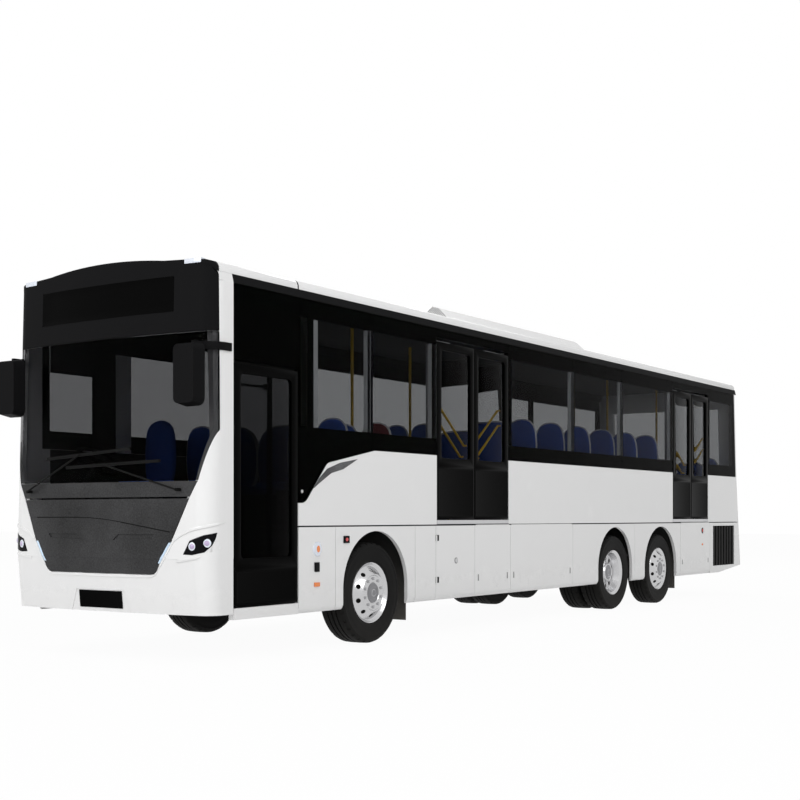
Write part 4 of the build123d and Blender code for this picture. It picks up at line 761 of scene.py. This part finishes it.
# a double door's leaf ends this far above and below its pins' ends
pin_low, pin_high = 0.030, 0.032
pin_r, pin_bed = 0.009, 0.008
lug_half, lug_t, lug_back = 0.025, 0.016, 0.018
front_arm_z, front_lug_t, front_lug_back, front_pin_half = (0.780, 2.430), 0.015, 0.025, 0.020
front_lug_shifts = (-0.026, 0.0103)
bridge_half, bridge_foot_z, bridge_top_gap, bridge_t = 0.03, 0.890, 0.075, 0.014
seal_y, seal_lap, seal_rise, seal_end = (1.2015, 1.2085), 0.010, 0.040, 0.005
rail_y, rail_r = 1.172, 0.0125
# distance from the closing edge and height of a rail's two ends
door_rails = (((0.106, 2.060), (0.640, 2.500)), ((0.178, 1.934), (0.650, 2.326)))
pins = {joint["child"]: joint["pos_m"] for joint in frame["record"]["behaviour"]["joints"]}


def new_leaf(name, x, z, window_foot):
    """A door leaf with a round-cornered window above a foot height and a sunk field below it."""
    leaf = new_block(name, (x[0], inner_face_y, z[0]), (x[1], half_width, z[1]))
    field_top = window_foot - leaf_margin
    mode("EDIT")
    take_all()
    bpy.ops.mesh.bisect(plane_co=(0.0, 0.0, field_top), plane_no=(0.0, 0.0, 1.0))
    pick(leaf, "FACE", lambda face: abs(face.normal.y) > 0.9 and face.center.z > window_foot)
    bpy.ops.mesh.inset(thickness=leaf_margin)
    bpy.ops.mesh.bridge_edge_loops()

    def on_corner(edge):
        a, b = (leaf.data.vertices[n].co for n in edge.vertices)
        inside = x[0] + leaf_margin / 2 < a.x < x[1] - leaf_margin / 2
        return inside and abs(a.y - b.y) > leaf_t / 2

    pick(leaf, "EDGE", on_corner)
    bpy.ops.mesh.bevel(offset=window_corner, segments=5, affect="EDGES")
    pick(leaf, "FACE", lambda face: face.normal.y > 0.9 and face.center.z < field_top)
    bpy.ops.mesh.inset(thickness=0.035)
    bpy.ops.mesh.inset(thickness=0.004, depth=-0.003)
    mode("OBJECT")
    return soften(leaf, 0.003)


def new_lug(pin_x, pin_y, back, foot_z, thick):
    """A lug of a leaf, from its inner face to behind its pin."""
    return new_block("lug", (pin_x - lug_half, pin_y - back, foot_z),
                     (pin_x + lug_half, inner_face_y, foot_z + thick))


def new_pin(pin_x, pin_y, foot_z, top_z):
    return new_rod("pin", (pin_x, pin_y, foot_z), (pin_x, pin_y, top_z), pin_r)


def hang(leaf, fittings, node):
    """Joins a leaf and its fittings, in place of its CAD node."""
    leaf = join(leaf.name, [leaf, *[soften(fitting, 0.001) for fitting in fittings]])
    settle(leaf, gloss_black, node)
    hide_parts(node)


def new_pane(name, x, z, window_foot):
    """The pane of a leaf, lapped into its frame."""
    edge = leaf_margin - pane_lap
    return soften(new_block(name, (x[0] + edge, pane_y[0], window_foot - pane_lap),
                            (x[1] - edge, pane_y[1], z[1] - edge)), 0.001)


for door in door_spans:
    for half, toward in (("front", -1), ("rear", 1)):
        node = f"{door}_{half}_leaf"
        low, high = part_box(node)
        x, z = (low[0], high[0]), (low[2] + pin_low, high[2] - pin_high)
        pin_x, pin_y = pins[node][:2]
        leaf = new_leaf(node + "_frame", x, z, double_window_foot)
        fittings = [new_lug(pin_x, pin_y, lug_back, lug_z, lug_t) for lug_z in (z[0], z[1] - lug_t)]
        fittings.append(new_pin(pin_x, pin_y, low[2], z[0] + pin_bed))
        fittings.append(new_pin(pin_x, pin_y, z[1] - pin_bed, high[2]))
        hang(leaf, fittings, node)
        settle(new_pane(node + "_pane", x, z, double_window_foot), side_tint, node)
        closing_x = x[0] if toward < 0 else x[1]
        rails = []
        for ends in door_rails:
            points = [Vector((closing_x - toward * away, rail_y, end_z)) for away, end_z in ends]
            rails.append(new_rod("rail", *points, rail_r))
            for point in points:
                rails.append(new_rod("foot", point, (point.x, inner_face_y, point.z), rail_r * 0.8))
        settle(soften(join(node + "_rails", rails), 0.003), yellow_tube, node)
        dress(frame_grey, f"{door}_{half}_arms")

low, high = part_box("front_door_leaf")
x, z = (low[0], high[0]), (low[2], high[2])
pin_x, pin_y = pins["front_door_leaf"][:2]
leaf = new_leaf("front_door_frame", x, z, front_window_foot)
fittings = [new_block("bridge", (pin_x - bridge_half, inner_face_y, bridge_foot_z),
                      (pin_x + bridge_half, inner_face_y + bridge_t, z[1] - bridge_top_gap))]
for arm_z in front_arm_z:
    fittings += [new_lug(pin_x, pin_y, front_lug_back, arm_z + shift, front_lug_t)
                 for shift in front_lug_shifts]
    fittings.append(new_pin(pin_x, pin_y, arm_z - front_pin_half, arm_z + front_pin_half))
hang(leaf, fittings, "front_door_leaf")
front_pane = new_pane("front_door_pane", x, z, front_window_foot)
settle(front_pane, door_tint, "front_door_leaf")
seal = new_block("front_door_seal", (x[0] - seal_end, seal_y[0], z[1] - seal_lap),
                 (x[1] + seal_end, seal_y[1], z[1] + seal_rise))
settle(soften(seal, 0.001), grille_black, "bus_body")
dress(frame_grey, "front_door_arms")

# Lamps: clear, amber and red lenses clipped into the mask, the skirts, the roof's front corners and the rear.
# A headlamp is a black cover, clipped over a housing of the mask's colour, with two projector lenses in clear
# rings. A clear lens stands in front of each roof marker, in the header's black cap.
lens_make = {"scale": 300.0, "Coat_Weight": 0.6}
lamp_clear = new_finish("lamp_clear", (0.72, 0.76, 0.84), 0.12, relief=0.1, **lens_make)
lamp_amber = new_finish("lamp_amber", (0.80, 0.20, 0.02), 0.15, relief=0.15, **lens_make)
lamp_red = new_finish("lamp_red", (0.55, 0.02, 0.02), 0.15, relief=0.15, **lens_make)
lamp_day = new_finish("lamp_day", (0.62, 0.78, 0.95), 0.12, scale=120.0, spread=0.8, Coat_Weight=0.6)
lamp_lilac = new_finish("lamp_lilac", (0.50, 0.40, 0.62), 0.06, scale=40.0, spread=0.5, Coat_Weight=1.0)
lamp_black = new_finish("lamp_black", (0.004, 0.004, 0.005), 0.1, scale=90.0, Specular_IOR_Level=0.06)
# y, z and outward lean of the projectors of the left headlamp; radius and rise of their rings and bowls
projectors = ((1.085, 1.012, 0.25), (1.203, 1.040, 0.70))
ring_r, ring_rise, bowl_r, bowl_rise = 0.038, 0.008, 0.024, 0.011
# x, y and z round the left headlamp's cover
cover_outline = ((6.545, 0.988, 0.942), (6.533, 1.055, 1.060), (6.493, 1.178, 1.108), (6.396, 1.244, 1.130),
                 (6.412, 1.240, 1.078), (6.440, 1.225, 1.020), (6.490, 1.185, 0.962), (6.534, 1.083, 0.938))
cover_rise = 0.005
# middle of the mask's left corner, and two heights below and above the headlamp
corner_x, corner_y, corner_reach = 6.300, 1.050, 0.600
corner_z = (0.885, 1.175)
# x and y round a roof marker's lens on the left, and its heights
marker_lens = ((6.400, 0.940), (6.4795, 0.940), (6.4595, 1.115), (6.400, 1.115))
marker_lens_z = (3.438, 3.481)
service_flap = "left_service_flap"
# name, body, x, z, half length, half height, base above the skin, rise, finish of the left side's lenses
side_lenses = (("side_marker_base", "bus_body", 5.009, 0.962, 0.072, 0.068, -0.001, 0.0155, lamp_clear),
               ("side_marker_centre", "bus_body", 5.009, 0.962, 0.030, 0.038, 0.0125, 0.003, lamp_amber),
               ("wheel_lamp_lens", "bus_body", 4.554, 1.045, 0.026, 0.020, 0.0125, 0.003, lamp_red),
               ("rear_lamp_ring", service_flap, -4.881, 1.049, 0.048, 0.048, -0.001, 0.008, lamp_black),
               ("rear_lamp_lens", service_flap, -4.881, 1.049, 0.030, 0.030, 0.004, 0.008, lamp_red),
               ("rear_reflector", service_flap, -4.881, 0.832, 0.040, 0.018, -0.001, 0.008, lamp_amber))


def node_solids(node):
    """Copies of a CAD node's separate solids, merged, with no edges across their flat faces."""
    copy = bpy.data.objects.new("solid", nodes[node].data.copy())
    bpy.context.scene.collection.objects.link(copy)
    select_only(copy)
    mode("EDIT")
    bpy.ops.mesh.select_mode(type="VERT")
    take_all()
    bpy.ops.mesh.remove_doubles(threshold=0.00002)
    bpy.ops.mesh.dissolve_limited(angle_limit=math.radians(0.5))
    bpy.ops.mesh.separate(type="LOOSE")
    mode("OBJECT")
    return list(bpy.context.selected_objects)


def lamp_kind(spot):
    """The kind and the finish of the lamp with its middle at a spot."""
    if spot.x > 6.2 and spot.z > 3.2:
        return "roof_marker", lamp_clear
    if spot.x > 6.2:
        return ("headlamp", white_paint) if abs(spot.y) > 0.95 else ("day_lamp", lamp_day)
    if spot.x < -6.0:
        return ("tail_indicator", lamp_amber) if 0.8 < spot.z < 0.9 else ("tail_lamp", lamp_red)
    if spot.z < 0.7:
        return "side_reflector", lamp_amber
    return ("side_marker", lamp_clear) if 0.9 < spot.z < 1.0 else ("side_lamp", lamp_black)


def new_dome(name, place, outward, size):
    """A lens dome on a face: size is its two half widths and its rise."""
    bpy.ops.object.select_all(action="DESELECT")
    bpy.ops.mesh.primitive_uv_sphere_add(segments=24, ring_count=12, radius=1.0)
    dome = bpy.context.object
    mode("EDIT")
    take_all()
    bpy.ops.mesh.bisect(plane_co=(0.0, 0.0, 0.02), plane_no=(0.0, 0.0, 1.0), clear_inner=True, use_fill=True)
    mode("OBJECT")
    dome.scale = size
    dome.rotation_euler = Vector(outward).to_track_quat("Z", "Y").to_euler()
    dome.location = place
    return named(name)


def corner_wall(side):
    """A wall that follows the mask round one of its corners, with no opening for the headlamp."""
    rows = []
    for z in corner_z:
        rows.append([])
        for degrees in range(-30, 101, 5):
            away = Vector((math.cos(math.radians(degrees)), side * math.sin(math.radians(degrees)), 0.0))
            start = Vector((corner_x, side * corner_y, z)) + away * corner_reach
            rows[-1].append(mask.ray_cast(start, -away)[1])
    rise = sum((b - a for a, b in zip(*rows)), Vector()) / len(rows[0])
    wall = new_path("wall", rows[0])
    extrude(rise)
    mode("OBJECT")
    if sum(face.normal.x for face in wall.data.polygons) < 0.0:
        mode("EDIT")
        take_all()
        bpy.ops.mesh.flip_normals()
        mode("OBJECT")
    return wall


def cover_headlamp(name, side):
    """The cover of a headlamp with its projectors."""
    ground = corner_wall(side)
    outline = [(x, side * y, z) for x, y, z in cover_outline]
    cover = skin_patch(f"{name}_cover", outline, ground, cover_rise, 6)
    discard(ground)
    settle(soften(cover, 0.0015), lamp_black, "bus_body")
    for n, (y, z, lean) in enumerate(projectors):
        _, spot, _, _ = cover.ray_cast((before_front_x, side * y, z), (-1.0, 0.0, 0.0))
        facing = Vector((1.0, side * lean, 0.0)).normalized()
        ring = new_dome(f"{name}_ring_{n}", spot - facing * 0.002, facing, (ring_r, ring_r, ring_rise))
        settle(ring, lamp_clear, "bus_body")
        bowl = new_dome(f"{name}_projector_{n}", spot + facing * 0.001, facing, (bowl_r, bowl_r, bowl_rise))
        settle(bowl, lamp_lilac, "bus_body")


lamp_parts = {}
for solid in node_solids("lamps"):
    spot = sum((Vector(corner) for corner in solid.bound_box), Vector()) / 8
    kind, finish = lamp_kind(spot)
    side_name = "left" if spot.y > 0.0 else "right"
    lamp_parts.setdefault((f"{side_name}_{kind}", finish), []).append(solid)
for (name, finish), solids in lamp_parts.items():
    lamp = join(name, solids)
    if "headlamp" in name:
        cover_headlamp(name, 1 if name.startswith("left") else -1)
    else:
        soften(lamp, 0.032 if "side_marker" in name else 0.004, 4)
    settle(lamp, finish, "bus_body")
    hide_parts("lamps")
for side_name, side in (("left", 1), ("right", -1)):
    outline = [(x, side * y, marker_lens_z[0]) for x, y in marker_lens]
    lens_height = marker_lens_z[1] - marker_lens_z[0]
    lens = new_prism(f"{side_name}_roof_marker_lens", outline, (0.0, 0.0, lens_height))
    settle(soften(lens, 0.004), lamp_clear, "bus_body")
for name, body, x, z, half_x, half_z, base, rise, finish in side_lenses:
    lens = new_dome(name, (x, half_width + base, z), (0.0, 1.0, 0.0), (half_x, half_z, rise))
    settle(lens, finish, body)

# Saloon: woven blue seats with light piping on steel legs, one of them red, and yellow tubes.
# Cushions and backs are moulded foam under cloth, clipped to the legs.
seat_cloth = new_finish("seat_cloth", (0.03, 0.09, 0.40), 0.85, scale=500.0, spread=0.5, relief=0.3)
seat_red = new_finish("seat_red", (0.16, 0.01, 0.02), 0.85, scale=500.0, spread=0.5, relief=0.3)
piping = new_finish("piping", (0.75, 0.76, 0.78), 0.6, scale=200.0)
dress(yellow_tube, "grab_poles")
deck_z, podest_z = 1.190, 1.420
seat_w, seat_t, seat_h, back_h = 0.420, 0.090, 0.430, 1.050
cushion_x, leg_x, piping_r = (0.06, 0.50), (0.12, 0.32), 0.012
pad_half, pad_foot = seat_w / 2 - 0.004, seat_h - seat_t
pair_y = (0.940, 0.520)
left_rows, right_rows = (4.320, 3.560), (4.170, 3.410, 2.650)
podest_rows = [-3.390 + n * 0.760 for n in range(6)]
rear_row_x = -6.205
# rear x, middle y, floor
seat_places = [(x, y, deck_z) for x in left_rows for y in pair_y]
seat_places += [(x, -y, deck_z) for x in right_rows for y in pair_y]
seat_places += [(x, side * y, podest_z) for x in podest_rows for side in (1, -1) for y in pair_y]
seat_places += [(rear_row_x, (n - 2) * seat_w, deck_z) for n in range(5)]
red_place = seat_places[2]
driver_place = (5.090, -0.650, deck_z)


def new_cushion(name, low, high, rounds=5):
    """A crowned foam pad that fills a box, its sides drawn in between the corners."""
    pad = new_block(name, low, high)
    mode("EDIT")
    bpy.ops.mesh.select_mode(type="VERT")
    take_all()
    bpy.ops.mesh.subdivide(number_cuts=5)
    bpy.ops.mesh.vertices_smooth(factor=0.5, repeat=rounds)
    mode("OBJECT")
    pad.scale = [(b - a) / size for a, b, size in zip(low, high, pad.dimensions)]
    centre = Vector([(a + b) / 2 for a, b in zip(low, high)])
    pad.location = centre - Vector([c * s for c, s in zip(centre, pad.scale)])
    return named(name)


cushion = new_cushion("cushion", (cushion_x[0], -pad_half, pad_foot), (cushion_x[1], pad_half, seat_h))
back = new_cushion("back", (0.0, -pad_half, pad_foot), (seat_t, pad_half, back_h), 14)
leg = soften(new_block("leg", (leg_x[0], -seat_w / 4, 0.0), (leg_x[1], seat_w / 4, pad_foot)), 0.01)
select_only(back)
mode("EDIT")
pick(back, "EDGE", lambda edge: all(abs(back.data.vertices[n].co.x - seat_t / 2) < 0.002
                                    for n in edge.vertices))
bpy.ops.mesh.duplicate()
bpy.ops.mesh.separate(type="SELECTED")
mode("OBJECT")
back.select_set(False)
bpy.context.view_layer.objects.active = bpy.context.selected_objects[0]
bpy.ops.object.convert(target="CURVE")
bpy.context.object.data.bevel_depth = piping_r
bpy.context.object.data.bevel_resolution = 1
bpy.ops.object.convert(target="MESH")
cord = bpy.context.object
blue, red, legs, cords = [], [], [], []
for place in seat_places:
    group = red if place == red_place else blue
    group.append(copy_piece("pad", cushion, place))
    group.append(copy_piece("pad", back, place))
    legs.append(copy_piece("leg", leg, place))
    cords.append(copy_piece("cord", cord, place))
blue += [copy_piece("pad", cushion, driver_place), copy_piece("pad", back, driver_place)]
legs.append(copy_piece("leg", leg, driver_place))
discard(cushion, back, leg, cord)
for name, pads, cloth in (("blue_seats", blue, seat_cloth), ("red_seat", red, seat_red)):
    pad = settle(join(name, pads), cloth, "bus_body", 60.0)
    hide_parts("seats")
settle(join("seat_legs", legs), chassis_black, "bus_body")
settle(join("seat_piping", cords), piping, "bus_body")

# Studio: pale floor and white surround, two soft lamps from the front left and one from the rear.
# The floor shows almost white to the camera, and floor and surround show white in and through glass.
floor_size, floor_drop, floor_share, surround_light = 160.0, 0.001, 0.96, 0.45
white = (1.0, 1.0, 1.0, 1.0)


def light_rays(tree):
    """Whether a ray comes from the camera, and whether it was mirrored or let through by glass."""
    ray = add_node(tree, "ShaderNodeLightPath").outputs
    return ray["Is Camera Ray"], add_math(tree, "MAXIMUM", ray["Is Glossy Ray"], ray["Is Transmission Ray"])


bpy.ops.object.select_all(action="DESELECT")
bpy.ops.mesh.primitive_plane_add(size=floor_size, location=(0.0, 0.0, -floor_drop))
floor = bpy.context.object
floor.name = "studio_floor"
white_floor = bpy.data.materials.new("white_floor")
white_floor.use_nodes = True
tree = white_floor.node_tree
matt = tree.nodes["Principled BSDF"]
matt.inputs["Base Color"].default_value = (0.9, 0.9, 0.9, 1.0)
matt.inputs["Roughness"].default_value = 0.9
paper = add_node(tree, "ShaderNodeEmission", {"Color": white, "Strength": 1.0})
camera_ray, glass_ray = light_rays(tree)
seen = add_math(tree, "MAXIMUM", add_math(tree, "MULTIPLY", camera_ray, floor_share), glass_ray)
mix = add_node(tree, "ShaderNodeMixShader", {0: seen, 1: matt.outputs[0], 2: paper.outputs[0]})
tree.links.new(mix.outputs[0], tree.nodes["Material Output"].inputs["Surface"])
floor.data.materials.append(white_floor)

world = bpy.data.worlds.new("studio_surround")
bpy.context.scene.world = world
world.use_nodes = True
tree = world.node_tree
seen = add_math(tree, "MAXIMUM", *light_rays(tree))
strength = add_node(tree, "ShaderNodeMapRange", {"Value": seen, "To Min": surround_light, "To Max": 1.0})
tree.nodes["Background"].inputs["Color"].default_value = white
tree.links.new(strength.outputs[0], tree.nodes["Background"].inputs["Strength"])

# lamp name, position, size, power
lamp_aim_z = 1.5
for name, spot, size, power in (("key_lamp", (14.0, 18.0, 16.0), 12.0, 2250.0),
                                ("front_lamp", (22.0, -2.0, 9.0), 10.0, 1150.0),
                                ("rear_lamp", (-16.0, -10.0, 14.0), 10.0, 900.0)):
    light = bpy.data.lights.new(name, "AREA")
    light.energy = power
    light.size = size
    lamp = bpy.data.objects.new(name, light)
    bpy.context.scene.collection.objects.link(lamp)
    lamp.location = spot
    aim = (-spot[0], -spot[1], lamp_aim_z - spot[2])
    lamp.rotation_euler = (math.atan2(math.hypot(aim[0], aim[1]), -aim[2]), 0.0,
                           math.atan2(aim[1], aim[0]) - math.pi / 2)

lens = bpy.data.cameras.new("photo_camera")
lens.sensor_width = 36.0
lens.lens = 58.665
lens.shift_y = 0.1458
lens.clip_end = 400.0
camera = bpy.data.objects.new("photo_camera", lens)
bpy.context.scene.collection.objects.link(camera)
camera.location = (14.735, 8.733, 1.266)
camera.rotation_euler = (math.radians(90.0), 0.0, math.radians(123.945))
bpy.context.scene.camera = camera
bpy.context.scene.view_settings.view_transform = "Standard"

bpy.context.view_layer.update()
